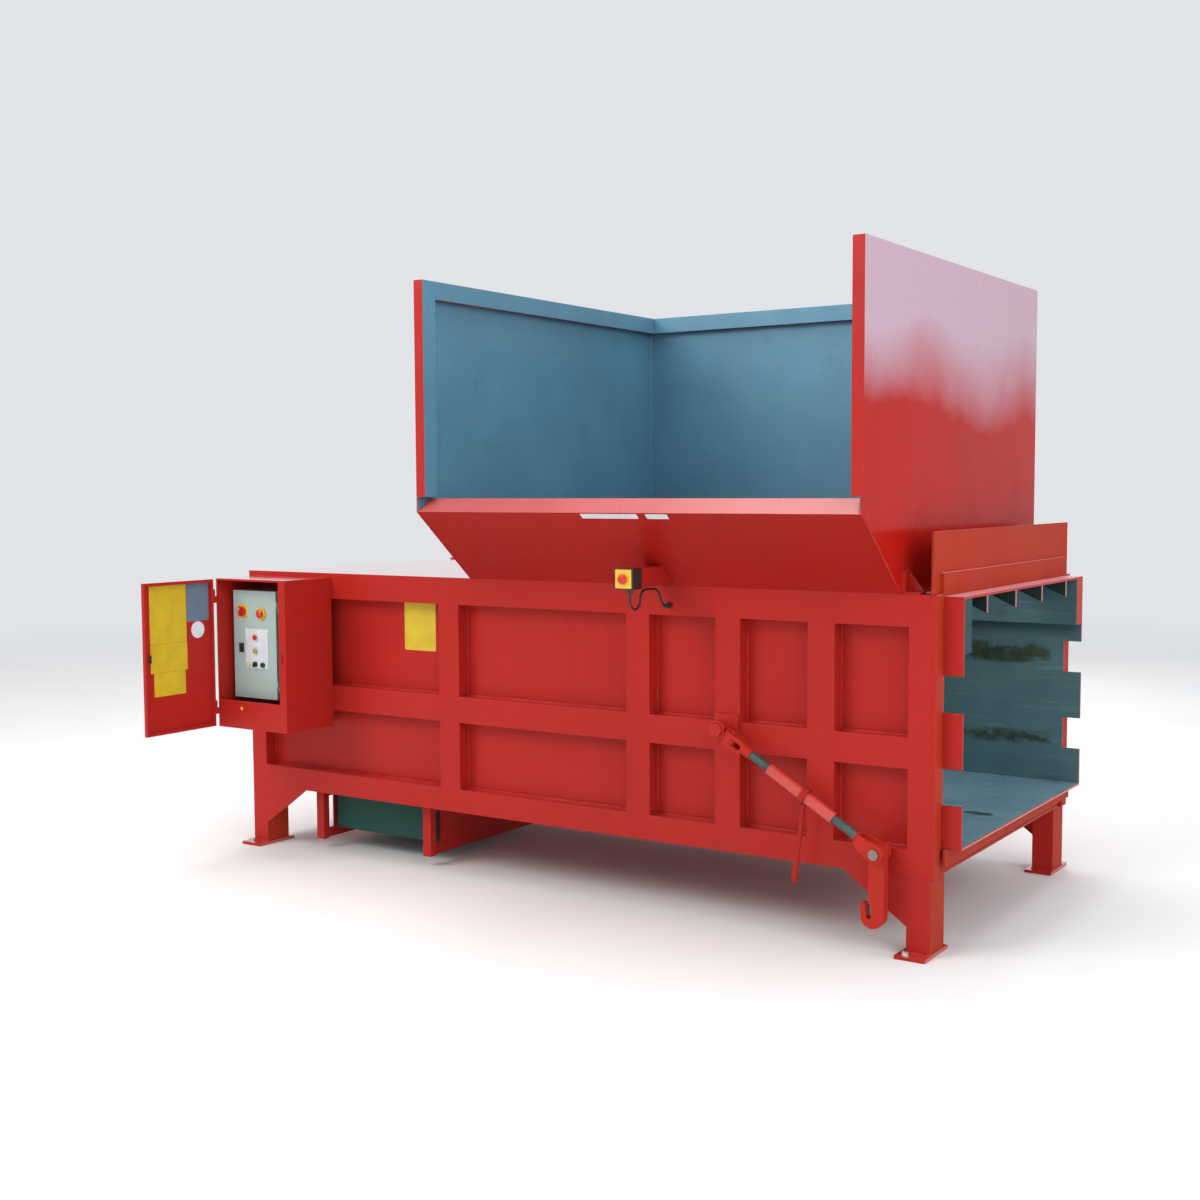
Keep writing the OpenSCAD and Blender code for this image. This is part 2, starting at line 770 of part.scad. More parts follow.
panel_hinge_z = [for (s = panel_hinge_shares) box_z0 + s * box_h];
module at_panel(s) {
    translate([box_x0 + s[0] * box_w, panel_front, box_z0 + s[1] * box_h]) children();
}
module control_enclosure() {
    color("lightsteelblue") {
        difference() {
            block([box_x0, box_x1], [box_front, box_back], [box_z0, box_z1]);
            block([box_x0 + box_t, box_x1 - box_t], [box_front - cut, box_back - box_t],
                  [box_z0 + box_t, box_z1 - box_t]);
        }
        for (z = panel_hinge_z) translate([panel_hinge_x, panel_hinge_y, z - panel_hinge_h]) {
            cylinder(h = panel_hinge_h, r = panel_hinge_r);
            cylinder(h = panel_hinge_h + panel_hinge_h, r = panel_pin_r);
            block([box_x1 - panel_hinge_x, 0], [0, panel_hinge_r + panel_hinge_r], [0, panel_hinge_h]);
        }
    }
}
module switchgear() {
    gear_y = box_back - box_t - plate_t;
    color("dimgray") {
        block([box_x0 + gear_plate_margin, box_x1 - gear_plate_margin], [gear_y, gear_y + plate_t],
              [box_z0 + gear_plate_margin, box_z1 - gear_plate_margin]);
        for (s = gear_shares)
            translate([box_x0 + s[0] * box_w - gear_size.x / 2, gear_y - gear_size.y, box_z0 + s[1] * box_h])
                translate([0, 0, -gear_size.z / 2]) cube(gear_size);
    }
}
panel_holes = [
    [isolator_share, isolator_shaft_r],
    [estop_share, mushroom_stem_r],
    [stop_share, button_stem_r],
    [start_share, button_stem_r],
    [selector_share, button_stem_r],
    [key_share, button_stem_r],
    [box_lock_share, isolator_shaft_r],
];
module control_holes() {
    for (h = panel_holes)
        at_panel(h[0]) rod_y(h[1] + slip, [-panel_t, panel_t]);
}
module enclosure_door() {
    color("lightsteelblue") difference() {
        union() {
            difference() {
                block([box_x0, box_x1], [panel_front, box_front - slip], [box_z0, box_z1]);
                block([box_x0 + panel_rim, box_x1 - panel_rim], [panel_front + panel_sheet, box_front + cut],
                      [box_z0 + panel_rim, box_z1 - panel_rim]);
            }
            for (z = panel_hinge_z) translate([panel_hinge_x, panel_hinge_y, z + slip]) {
                cylinder(h = panel_hinge_h, r = panel_hinge_r);
                block([box_x1 - panel_hinge_x, 0], [panel_front - panel_hinge_y, -slip], [0, panel_hinge_h]);
            }
        }
        for (z = panel_hinge_z)
            translate([panel_hinge_x, panel_hinge_y, z])
                cylinder(h = panel_hinge_h + panel_hinge_h, r = panel_pin_r + run_fit);
        control_holes();
    }
}
module isolator_plate() {
    half = isolator_plate_w / 2;
    color("gold") difference() {
        at_panel(isolator_share) block([-half, half], [-plate_t, 0], [-half, half]);
        control_holes();
    }
}
module isolator_knob() {
    color("red") at_panel(isolator_share) {
        rod_y(isolator_r, [-plate_t - slip - isolator_t, -plate_t - slip]);
        rod_y(isolator_shaft_r, [-plate_t - slip, panel_t]);
        block([-grip_w / 2, grip_w / 2], [-plate_t - isolator_t - grip_h, -plate_t - isolator_t],
              [-isolator_r, isolator_r]);
    }
}
module estop_collar() {
    color("gold") difference() {
        at_panel(estop_share) rod_y(collar_r, [-collar_t, 0]);
        control_holes();
    }
}
module mushroom(lift, stem) {
    rotate([90, 0, 0]) rotate_extrude() polygon([
        [0, -stem],
        [mushroom_stem_r, -stem],
        [mushroom_stem_r, lift],
        [mushroom_r, lift],
        [mushroom_r, lift + mushroom_t / 2],
        [mushroom_stem_r, lift + mushroom_t],
        [0, lift + mushroom_t],
    ]);
}
module estop_button() {
    color("red") at_panel(estop_share) mushroom(collar_t + mushroom_lift, panel_t);
}
module control_plate() {
    low = control_plate_shares[0];
    high = control_plate_shares[1];
    color("white") difference() {
        union() {
            at_panel(low) block([0, (high - low).x * box_w], [-plate_t, 0], [0, (high - low).y * box_h]);
            for (s = [stop_share, start_share]) at_panel(s) rod_y(bezel_r, [-plate_t - bezel_t, -plate_t]);
        }
        control_holes();
        for (s = [stop_share, start_share])
            at_panel(s) rod_y(button_r + slip, [-plate_t - bezel_t - cut, -plate_t]);
    }
}
module push_button(s) {
    back = plate_t + button_lift;
    at_panel(s) {
        rod_y(button_r, [-back - button_t, -back]);
        rod_y(button_stem_r, [-back, stem_l]);
    }
}
module stop_button() {
    color("red") push_button(stop_share);
}
module start_button() {
    color("yellowgreen") push_button(start_share);
}
module turn_switch(s) {
    at_panel(s) {
        rod_y(turn_r, [-plate_t - slip - turn_t, -plate_t - slip]);
        rod_y(button_stem_r, [-plate_t - slip, stem_l]);
    }
}
module selector_switch() {
    color("black") {
        turn_switch(selector_share);
        at_panel(selector_share)
            block([-grip_w / 4, grip_w / 4], [-plate_t - turn_t - grip_w, -plate_t - turn_t],
                  [-turn_r, turn_r]);
    }
}
module key_switch() {
    color("midnightblue") difference() {
        turn_switch(key_share);
        at_panel(key_share) block([-key_slot_w / 2, key_slot_w / 2],
                                  [-plate_t - slip - turn_t - cut, -plate_t - slip - turn_t + key_slot_d],
                                  [-turn_r / 2, turn_r / 2]);
    }
}
module pilot_lamp() {
    color("khaki") at_panel(lamp_share) rod_y(lamp_r, [-plate_t - lamp_t, -plate_t]);
}
module enclosure_lock() {
    color("black") at_panel(box_lock_share) {
        block([-box_lock_w / 2, box_lock_w / 2], [-slip - box_lock_t, -slip],
              [-box_lock_h / 2, box_lock_h / 2]);
        rod_y(isolator_shaft_r, [-slip, panel_t]);
    }
}

// Emergency stop beside the chute: a channel arm, a switch box and its cable
arm_share = 0.5;
arm_w = 84;
arm_h = 83;
arm_t = 4;
arm_rise = 7;
side_box_w = 92;
side_box_h = 88;
side_box_d = 70;
side_box_setback = 35;
side_plate_w = 78;
side_plate_t = 3;
gland_r = 11;
gland_nut_r = 14;
gland_nut_h = 10;
arm_x = hopper_x0 + arm_share * hopper_l;
arm_z = [body_top + arm_rise, body_top + arm_rise + arm_h];
side_box_y = [hopper_front + side_box_setback, hopper_front + side_box_setback + side_box_d];
side_box_z = [arm_z[1] - side_box_h, arm_z[1]];
side_stop_z = (side_box_z[0] + side_box_z[1]) / 2;
function slope_y(z) = -half_w - hopper_reach * (z - body_top) / lip_rise;
module arm_side(top) {
    polygon([
        [side_box_y[1], arm_z[0]],
        [slope_y(arm_z[0]), arm_z[0]],
        [slope_y(top), top],
        [side_box_y[1], top],
    ]);
}
module estop_arm() {
    color("crimson") difference() {
        along_x([arm_x - arm_w / 2, arm_x + arm_w / 2]) arm_side(arm_z[1]);
        block([arm_x - arm_w / 2 + arm_t, arm_x + arm_w / 2 - arm_t], [side_box_y[1] - cut, -half_w],
              [arm_z[0] - cut, arm_z[1] - arm_t]);
    }
}
module estop_box() {
    color("black") difference() {
        block([arm_x - side_box_w / 2, arm_x + side_box_w / 2], side_box_y, side_box_z);
        translate([arm_x, 0, side_stop_z])
            rod_y(mushroom_stem_r + slip, [side_box_y[0] - cut, side_box_y[0] + stem_l + stem_l]);
    }
}
module side_estop_plate() {
    half = side_plate_w / 2;
    color("gold") translate([arm_x, side_box_y[0], side_stop_z]) difference() {
        block([-half, half], [-side_plate_t, 0], [-half, half]);
        rod_y(mushroom_stem_r + slip, [-side_plate_t - cut, cut]);
    }
}
module side_estop_button() {
    color("red") translate([arm_x, side_box_y[0], side_stop_z])
        mushroom(side_plate_t + mushroom_lift, stem_l);
}

// Stop cable: out of the switch box, round a drip loop and into the top rail
cable_r = 5;
cable_sides = 8;
cable_side = 16;
cable_setback = 25;
cable_drop = 20;
cable_start = [arm_x + cable_side, side_box_y[0] + cable_setback, side_box_z[0] - cable_drop];
cable_points = [
    [0, 0, 0], [0, 0, -14], [0, 0, -27], [0, 3, -42], [0, 12, -55], [0, 25, -64],
    [0, 40, -67], [0, 55, -64], [0, 68, -55], [0, 77, -42], [0, 80, -27], [0, 83, -12],
    [0, 92, 1], [0, 105, 10], [0, 120, 13], [0, 155, 13], [0, 190, 11], [0, 210, 7],
    [0, 226, -4], [0, 237, -20], [0, 245, -37], [0, 256, -53], [0, 270, -64], [0, 279, -67],
    [0, 288, -67],
];
cable_route = [for (p = cable_points) cable_start + p];
cable_end = cable_route[len(cable_route) - 1];
function heading(p, i) = unit(p[min(i + 1, len(p) - 1)] - p[max(i - 1, 0)]);
function ring(p, i) =
    let (h = heading(p, i), up = cross([1, 0, 0], h))
    [for (k = [0 : cable_sides - 1])
        p[i] + cable_r * (cos(k * 360 / cable_sides) * [1, 0, 0] + sin(k * 360 / cable_sides) * up)];
module estop_cable() {
    n = len(cable_route);
    m = cable_sides;
    color("black") polyhedron(
        points = [for (i = [0 : n - 1]) each ring(cable_route, i)],
        faces = concat(
            [[for (k = [0 : m - 1]) k]],
            [for (i = [0 : n - 2], k = [0 : m - 1])
                [i * m + k, (i + 1) * m + k, (i + 1) * m + (k + 1) % m, i * m + (k + 1) % m]],
            [[for (k = [m - 1 : -1 : 0]) (n - 1) * m + k]]
        )
    );
}
module cable_glands() {
    color("dimgray") {
        translate(cable_start) cylinder(h = cable_drop, r = gland_r);
        translate([cable_start.x, cable_start.y, side_box_z[0] - gland_nut_h])
            cylinder(h = gland_nut_h, r = gland_nut_r, $fn = 6);
        translate([cable_end.x, 0, cable_end.z]) {
            rod_y(gland_r, [cable_end.y, -half_w]);
            rod_y(gland_nut_r, [-half_w - gland_nut_h, -half_w], $fn = 6);
        }
    }
}

// Turnbuckle clamp: its frame starts at the wall lug's axle, X down the sleeve
clamp_drop = 22;
clamp_out = 80;
lug_plate_w = 110;
lug_plate_t = 12;
axle_r = 20;
axle_boss_r = 27;
axle_nut_r = 30;
axle_nut_t = 12;
eye_r = 38;
eye_w = 36;
tongue_l = 70;
tongue_r = 34;
tongue_t = 26;
fork_pin_r = 14;
fork_pin_head_t = 6;
tine_t = 18;
fork_clear = 42;
yoke_l = 42;
fork_collar_l = 30;
fork_collar_r = 24;
bare_upper = 99;
bare_lower = 110;
screw_reach_share = 0.35;
clevis_throat_r = 24;
clevis_l = 114;
cheek_r = 38;
cheek_t = 18;
hook_t = 46;
hook_side_gap = 3;
pin_head_r = 21;
pin_head_t = 8;
peg_r = 12;
peg_over = 2;
clamp_x = rib_x[2];
clamp_y = -half_w - clamp_out;
clamp_z = mid_rail_z + mid_rail_h - clamp_drop;
sleeve_x0 = tongue_l + fork_clear + yoke_l + fork_collar_l + bare_upper;
sleeve_x1 = sleeve_x0 + sleeve_l;
clevis_x0 = sleeve_x1 + bare_lower;
clevis_pin_x = clevis_x0 + clevis_l;
cheek_y = [hook_t / 2 + hook_side_gap, hook_t / 2 + hook_side_gap + cheek_t];
hook_x = clamp_x + clevis_pin_x * cos(clamp_slope);
hook_z = clamp_z - clevis_pin_x * sin(clamp_slope);
module clamp_axes() {
    translate([clamp_x, clamp_y, clamp_z]) rotate([0, clamp_slope, 0]) children();
}
// Outlines of a forged yoke: two discs with the flanks between them, and a strap
// bent round to both sides of its bend's middle, out to its ends
module taper(r, x) {
    lean = (r[0] - r[1]) / (x[1] - x[0]);
    flank = [lean, sqrt(1 - lean * lean)];
    polygon([
        [x[0], 0] + r[0] * flank,
        [x[1], 0] + r[1] * flank,
        [x[1] + r[1] * flank.x, -r[1] * flank.y],
        [x[0] + r[0] * flank.x, -r[0] * flank.y],
    ]);
    for (i = [0, 1]) translate([x[i], 0]) circle(r = r[i]);
}
module bent_strap(r, bend, end) {
    module fill(r, over) {
        from = min(bend, end - over);
        translate([bend, 0]) circle(r = r);
        translate([from, -r]) square([max(bend, end + over) - from, r + r]);
    }
    difference() {
        fill(r[1], 0);
        fill(r[0], cut);
    }
}
module clamp_lug() {
    half = lug_plate_w / 2;
    eye_front = clamp_y - eye_w / 2 - slip;
    color("crimson") {
        translate([clamp_x, 0, clamp_z]) {
            block([-half, half], [-half_w - lug_plate_t, -half_w], [-half, half]);
            rod_y(axle_boss_r, [clamp_y + eye_w / 2 + slip, -half_w - lug_plate_t]);
            rod_y(axle_r, [eye_front, clamp_y + eye_w / 2 + slip]);
            rod_y(axle_nut_r, [eye_front - axle_nut_t, eye_front], $fn = 6);
        }
        clamp_axes() translate([clevis_pin_x, 0, -cheek_r - slip - peg_r])
            rod_y(peg_r, [cheek_y[0] - peg_over, clamp_out]);
    }
}
module clamp_swivel() {
    color("crimson") clamp_axes() difference() {
        union() {
            rod_y(eye_r, [-eye_w / 2, eye_w / 2]);
            block([0, tongue_l], [-eye_w / 2, eye_w / 2], [-tongue_t / 2, tongue_t / 2]);
            translate([tongue_l, 0, -tongue_t / 2]) cylinder(h = tongue_t, r = tongue_r);
        }
        rod_y(axle_r + run_fit, [-eye_w, eye_w]);
        translate([tongue_l, 0, -tongue_t]) cylinder(h = tongue_t + tongue_t, r = fork_pin_r + run_fit);
    }
}
tine_z = [tongue_t / 2 + slip, tongue_t / 2 + slip + tine_t];
module clamp_fork() {
    rod_x0 = tongue_l + fork_clear + yoke_l;
    color("crimson") clamp_axes() {
        intersection() {
            translate([0, 0, -tine_z[1]]) linear_extrude(tine_z[1] + tine_z[1])
                taper([tongue_r, fork_collar_r], [tongue_l, rod_x0 - fork_collar_r]);
            along_y([-tongue_r, tongue_r]) bent_strap(tine_z, rod_x0 - tine_z[1], tongue_l - tongue_r);
        }
        rod_x(fork_collar_r, [rod_x0 - tine_t, rod_x0 + fork_collar_l]);
        rod_x(thread_r, [rod_x0, sleeve_x0 + screw_reach_share * sleeve_l]);
        translate([tongue_l, 0, -tine_z[1] - fork_pin_head_t])
            cylinder(h = 2 * (tine_z[1] + fork_pin_head_t), r = fork_pin_r);
    }
}
module clamp_sleeve() {
    color("crimson") clamp_axes() tube_x(sleeve_r, thread_r + run_fit, [sleeve_x0, sleeve_x1]);
}
module clamp_clevis() {
    color("crimson") clamp_axes() {
        rod_x(thread_r, [sleeve_x1 - screw_reach_share * sleeve_l, clevis_x0 + cheek_t]);
        difference() {
            intersection() {
                along_y([-cheek_y[1], cheek_y[1]])
                    taper([clevis_throat_r, cheek_r], [clevis_x0 + clevis_throat_r, clevis_pin_x]);
                translate([0, 0, -cheek_r]) linear_extrude(cheek_r + cheek_r)
                    bent_strap(cheek_y, clevis_x0 + cheek_y[1], clevis_pin_x + cheek_r);
            }
            translate([clevis_pin_x, 0, 0]) rod_y(clevis_pin_r, [-cheek_y[1] - cut, cheek_y[1] + cut]);
        }
    }
}
module clevis_pin() {
    color("silver") translate([hook_x, clamp_y, hook_z]) {
        rod_y(clevis_pin_r, [-cheek_y[1], cheek_y[1] + pin_head_t]);
        rod_y(pin_head_r, [-cheek_y[1] - pin_head_t, -cheek_y[1]]);
    }
}

// Container hook, hanging from the clevis pin: places from the pin's middle
hook_eye_r = 36;
hook_shank_x = [-30, 35];
hook_foot_r = 49;
hook_tip_w = 21;
hook_throat_w = 24;
hook_throat_h = 50;
module container_hook() {
    foot = [hook_shank_x[1] - hook_foot_r, hook_foot_r - hook_h];
    tip_x = hook_shank_x[1] - hook_foot_r - hook_foot_r;
    slot_x = tip_x + hook_tip_w;
    color("crimson") translate([hook_x, clamp_y, hook_z]) along_y([-hook_t / 2, hook_t / 2]) difference() {
        union() {
            circle(r = hook_eye_r);
            translate([hook_shank_x[0], foot.y]) square([hook_shank_x[1] - hook_shank_x[0], -foot.y]);
            translate(foot) circle(r = hook_foot_r);
            translate([tip_x, foot.y]) square([foot.x - tip_x, hook_throat_h]);
        }
        circle(r = clevis_pin_r + run_fit);
        translate([slot_x, foot.y]) square([hook_throat_w, hook_throat_h + cut]);
        translate([slot_x + hook_throat_w / 2, foot.y]) circle(d = hook_throat_w);
    }
}

// Lever with a ring round the sleeve
lever_share = 0.55;
lever_ring_w = 24;
lever_ring_t = 12;
lever_crank = 24;
lever_r = 10;
lever_l = 367;
lever_grip_r = 13;
lever_grip_l = 90;
module tommy_bar() {
    ring_x = sleeve_x0 + lever_share * sleeve_l;
    bore = sleeve_r + slip;
    color("crimson") clamp_axes() translate([ring_x, 0, 0]) difference() {
        union() {
            rod_x(bore + lever_ring_t, [-lever_ring_w / 2, lever_ring_w / 2]);
            rotate([0, -lever_crank, 0]) {
                translate([0, 0, -lever_l]) cylinder(h = lever_l, r = lever_r);
                translate([0, 0, lever_grip_r - lever_l]) cylinder(h = lever_grip_l, r = lever_grip_r);
                translate([0, 0, lever_grip_r - lever_l]) sphere(r = lever_grip_r);
            }
        }
        rod_x(bore, [-lever_ring_w - lever_r, lever_ring_w + lever_r]);
    }
}

near_side_wall();
far_side_wall();
near_side_frame();
far_side_frame();
legs();
foot_plates();
anchor_bolts();
chamber_floor();
floor_bearers();
rear_bulkhead();
rear_cover();
guide_rails();
mouth_lintel();
retention_claws();
mouth_upstand();
hopper_left_panel();
hopper_right_panel();
hopper_back_panel();
hopper_front_chute();
ram_body();
ram_pads();
cylinder_pin();
cylinder_barrel();
cylinder_stage();
cylinder_rod();
pack_hangers();
oil_tank();
gear_pump();
pump_motor();
control_cabinet();
cabinet_door();
door_lock();
control_enclosure();
switchgear();
enclosure_door();
isolator_plate();
isolator_knob();
estop_collar();
estop_button();
control_plate();
stop_button();
start_button();
selector_switch();
key_switch();
pilot_lamp();
enclosure_lock();
estop_arm();
estop_box();
side_estop_plate();
side_estop_button();
estop_cable();
cable_glands();
clamp_lug();
clamp_swivel();
clamp_fork();
clamp_sleeve();
clamp_clevis();
clevis_pin();
container_hook();
tommy_bar();
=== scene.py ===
"""Looks of the static waste compactor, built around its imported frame. Metres, row frame."""
import math
import random

import bmesh
import bpy
from mathutils import Matrix, Vector


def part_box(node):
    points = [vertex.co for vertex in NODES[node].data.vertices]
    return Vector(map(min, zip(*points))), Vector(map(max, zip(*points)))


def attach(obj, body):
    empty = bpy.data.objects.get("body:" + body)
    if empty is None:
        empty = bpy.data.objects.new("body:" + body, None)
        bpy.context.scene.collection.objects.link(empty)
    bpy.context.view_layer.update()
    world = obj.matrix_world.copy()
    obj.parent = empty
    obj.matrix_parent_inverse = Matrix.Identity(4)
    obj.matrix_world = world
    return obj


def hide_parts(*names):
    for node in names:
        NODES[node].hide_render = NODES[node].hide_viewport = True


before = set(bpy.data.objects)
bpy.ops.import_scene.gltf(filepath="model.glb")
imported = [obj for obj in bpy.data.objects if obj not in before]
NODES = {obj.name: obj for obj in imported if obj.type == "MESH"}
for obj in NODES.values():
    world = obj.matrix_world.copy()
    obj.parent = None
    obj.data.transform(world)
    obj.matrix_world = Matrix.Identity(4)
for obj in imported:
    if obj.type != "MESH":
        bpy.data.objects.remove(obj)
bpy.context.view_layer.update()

MM = 0.001


# Camera at the photograph's place
CAMERA_AT = Vector((4.0746, -6.516, 1.8738))
CAMERA_YAW = 0.5859
CAMERA_PITCH = 0.0736
CAMERA_ROLL = -0.005
PHOTO_PX = 1200
FOCAL_PX = 1521.8
SENSOR_MM = 36
VIEW_REACH = 200


def make_camera():
    cosp = math.cos(CAMERA_PITCH)
    forward = Vector((-math.sin(CAMERA_YAW) * cosp, math.cos(CAMERA_YAW) * cosp,
                      -math.sin(CAMERA_PITCH)))
    level = Vector((math.cos(CAMERA_YAW), math.sin(CAMERA_YAW), 0))
    up = level.cross(forward)
    c, s = math.cos(CAMERA_ROLL), math.sin(CAMERA_ROLL)
    right = level * c + up * s
    up = up * c - level * s
    data = bpy.data.cameras.new("camera")
    data.sensor_width = SENSOR_MM
    data.lens = FOCAL_PX / PHOTO_PX * SENSOR_MM
    data.clip_end = VIEW_REACH
    camera = bpy.data.objects.new("camera", data)
    bpy.context.scene.collection.objects.link(camera)
    turn = Matrix((right, up, -forward)).transposed().to_4x4()
    camera.matrix_world = Matrix.Translation(CAMERA_AT) @ turn
    bpy.context.scene.camera = camera


make_camera()


# Stop cable: the route of the part's own cable from its exit, in millimetres
CABLE_START = Vector((690, -1190, 1432))
CABLE_POINTS = [
    (0, 0, 0), (0, 0, -14), (0, 0, -27), (0, 3, -42), (0, 12, -55), (0, 25, -64),
    (0, 40, -67), (0, 55, -64), (0, 68, -55), (0, 77, -42), (0, 80, -27), (0, 83, -12),
    (0, 92, 1), (0, 105, 10), (0, 120, 13), (0, 155, 13), (0, 190, 11), (0, 210, 7),
    (0, 226, -4), (0, 237, -20), (0, 245, -37), (0, 256, -53), (0, 270, -64), (0, 279, -67),
    (0, 288, -67),
]
CABLE_R = 0.005
CABLE_ROUNDING = 5


def make_cable():
    data = bpy.data.curves.new("stop_cable", "CURVE")
    data.dimensions = "3D"
    data.bevel_depth = 1
    data.bevel_resolution = CABLE_ROUNDING
    data.use_fill_caps = True
    spline = data.splines.new("POLY")
    points = [(CABLE_START + Vector(p)) * MM for p in CABLE_POINTS]
    spline.points.add(len(points) - 1)
    for point, place in zip(spline.points, points):
        point.co = (*place, 1)
        point.radius = CABLE_R
    cable = bpy.data.objects.new("stop_cable", data)
    bpy.context.scene.collection.objects.link(cable)
    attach(cable, "machine")
    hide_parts("estop_cable")
    return cable


cable = make_cable()


# Shader helpers
EDGE_R = 0.004
EDGE_DOTS = (0.99, 0.85)
EDGE_SAMPLES = 4
MIX_A, MIX_B, MIX_OUT = 6, 7, 2


class Shader:
    """A material's node tree with short calls for the nodes that the finishes share."""

    def __init__(self, name):
        self.material = bpy.data.materials.new(name)
        self.material.use_nodes = True
        self.tree = self.material.node_tree
        self.bsdf = next(n for n in self.tree.nodes if n.type == "BSDF_PRINCIPLED")
        self.place = self.node("ShaderNodeTexCoord").outputs["Object"]

    def node(self, kind, **values):
        node = self.tree.nodes.new(kind)
        for key, value in values.items():
            setattr(node, key, value)
        return node

    def link(self, out, socket):
        self.tree.links.new(out, socket)

    def set(self, **values):
        for key, value in values.items():
            self.bsdf.inputs[key.replace("_", " ")].default_value = value

    def noise(self, scale, detail=4, roughness=0.55, stretch=(1, 1, 1)):
        mapping = self.node("ShaderNodeMapping")
        mapping.inputs["Scale"].default_value = stretch
        self.link(self.place, mapping.inputs["Vector"])
        noise = self.node("ShaderNodeTexNoise")
        noise.inputs["Scale"].default_value = scale
        noise.inputs["Detail"].default_value = detail
        noise.inputs["Roughness"].default_value = roughness
        self.link(mapping.outputs["Vector"], noise.inputs["Vector"])
        return noise.outputs["Fac"]

    def spread(self, value, low, high, to_low=0.0, to_high=1.0):
        node = self.node("ShaderNodeMapRange")
        ends = {"From Min": low, "From Max": high, "To Min": to_low, "To Max": to_high}
        for key, number in ends.items():
            node.inputs[key].default_value = number
        self.link(value, node.inputs["Value"])
        return node.outputs["Result"]

    def math(self, kind, a, b):
        node = self.node("ShaderNodeMath", operation=kind)
        for socket, value in zip(node.inputs, (a, b)):
            if isinstance(value, (int, float)):
                socket.default_value = value
            else:
                self.link(value, socket)
        return node.outputs["Value"]

    def mix(self, factor, a, b):
        node = self.node("ShaderNodeMix", data_type="RGBA")
        self.link(factor, node.inputs["Factor"])
        for socket, value in ((node.inputs[MIX_A], a), (node.inputs[MIX_B], b)):
            if isinstance(value, tuple):
                socket.default_value = (*value, 1)
            else:
                self.link(value, socket)
        return node.outputs[MIX_OUT]

    def edges(self, radius):
        """Softened normal at edges, and a mask that is 1 along them."""
        bevel = self.node("ShaderNodeBevel", samples=EDGE_SAMPLES)
        bevel.inputs["Radius"].default_value = radius
        true = self.node("ShaderNodeNewGeometry").outputs["True Normal"]
        dot = self.node("ShaderNodeVectorMath", operation="DOT_PRODUCT")
        self.link(bevel.outputs["Normal"], dot.inputs[0])
        self.link(true, dot.inputs[1])
        return bevel.outputs["Normal"], self.spread(dot.outputs["Value"], *EDGE_DOTS)

    def axis(self, name):
        node = self.node("ShaderNodeSeparateXYZ")
        self.link(self.place, node.inputs["Vector"])
        return node.outputs[name]

    def patch(self, limits, soft):
        """A mask that is 1 between limits along the named axes, with soft sides."""
        mask = 1
        for name, (low, high) in limits.items():
            rise = self.spread(self.axis(name), low - soft, low + soft)
            fall = self.spread(self.axis(name), high + soft, high - soft)
            mask = self.math("MULTIPLY", mask, self.math("MULTIPLY", rise, fall))
        return mask

    def bump(self, height, distance, normal):
        node = self.node("ShaderNodeBump")
        node.inputs["Strength"].default_value = 1
        node.inputs["Distance"].default_value = distance
        self.link(height, node.inputs["Height"])
        self.link(normal, node.inputs["Normal"])
        return node.outputs["Normal"]

    def finish(self, color, rough, normal):
        self.link(color, self.bsdf.inputs["Base Color"])
        self.link(rough, self.bsdf.inputs["Roughness"])
        self.link(normal, self.bsdf.inputs["Normal"])
        return self.material


def paint(name, fresh, faded, worn, rough=(0.3, 0.44), spec=0.2, coat=0.0, peel=0.00012,
          wave=0.0025, wear=0.5, painted_reflection=None):
    """Gloss paint on plate: mottled, rain-streaked, worn at its edges, and paler above a height if asked,
    which is a painted reflection.
    """
    s = Shader(name)
    s.set(Coat_Weight=coat, Coat_Roughness=0.12, Specular_IOR_Level=spec)
    soft, edge = s.edges(EDGE_R)
    mottle = s.spread(s.noise(1.3, 6), 0.35, 0.7)
    streak = s.spread(s.noise(1.0, 5, 0.6, (7, 7, 0.5)), 0.52, 0.78, 0, 0.5)
    chips = s.math("MULTIPLY", edge, s.spread(s.noise(28, 6, 0.7), 0.48, 0.6, 0, wear))
    color = s.mix(mottle, fresh, faded)
    color = s.mix(streak, color, tuple(c * 0.8 for c in fresh))
    color = s.mix(chips, color, worn)
    # Painted reflection: a pale pink above a ragged height stands in for the sky seen in the gloss.
    if painted_reflection:
        pale, low, high = painted_reflection
        ragged = s.math("ADD", s.axis("Z"), s.spread(s.noise(1.2, 3), 0.3, 0.7, -0.1, 0.1))
        color = s.mix(s.spread(ragged, low, high, 0, 0.9), color, pale)
    gloss = s.spread(s.noise(5, 5), 0.3, 0.7, *rough)
    normal = s.bump(s.noise(2.2, 2), wave, soft)
    normal = s.bump(s.noise(320, 2), peel, normal)
    return s.finish(color, gloss, normal)


RUB_OLIVE = (0.036, 0.05, 0.02)
RUB_DARK = (0.012, 0.02, 0.008)
RUB_SOFT = 0.025


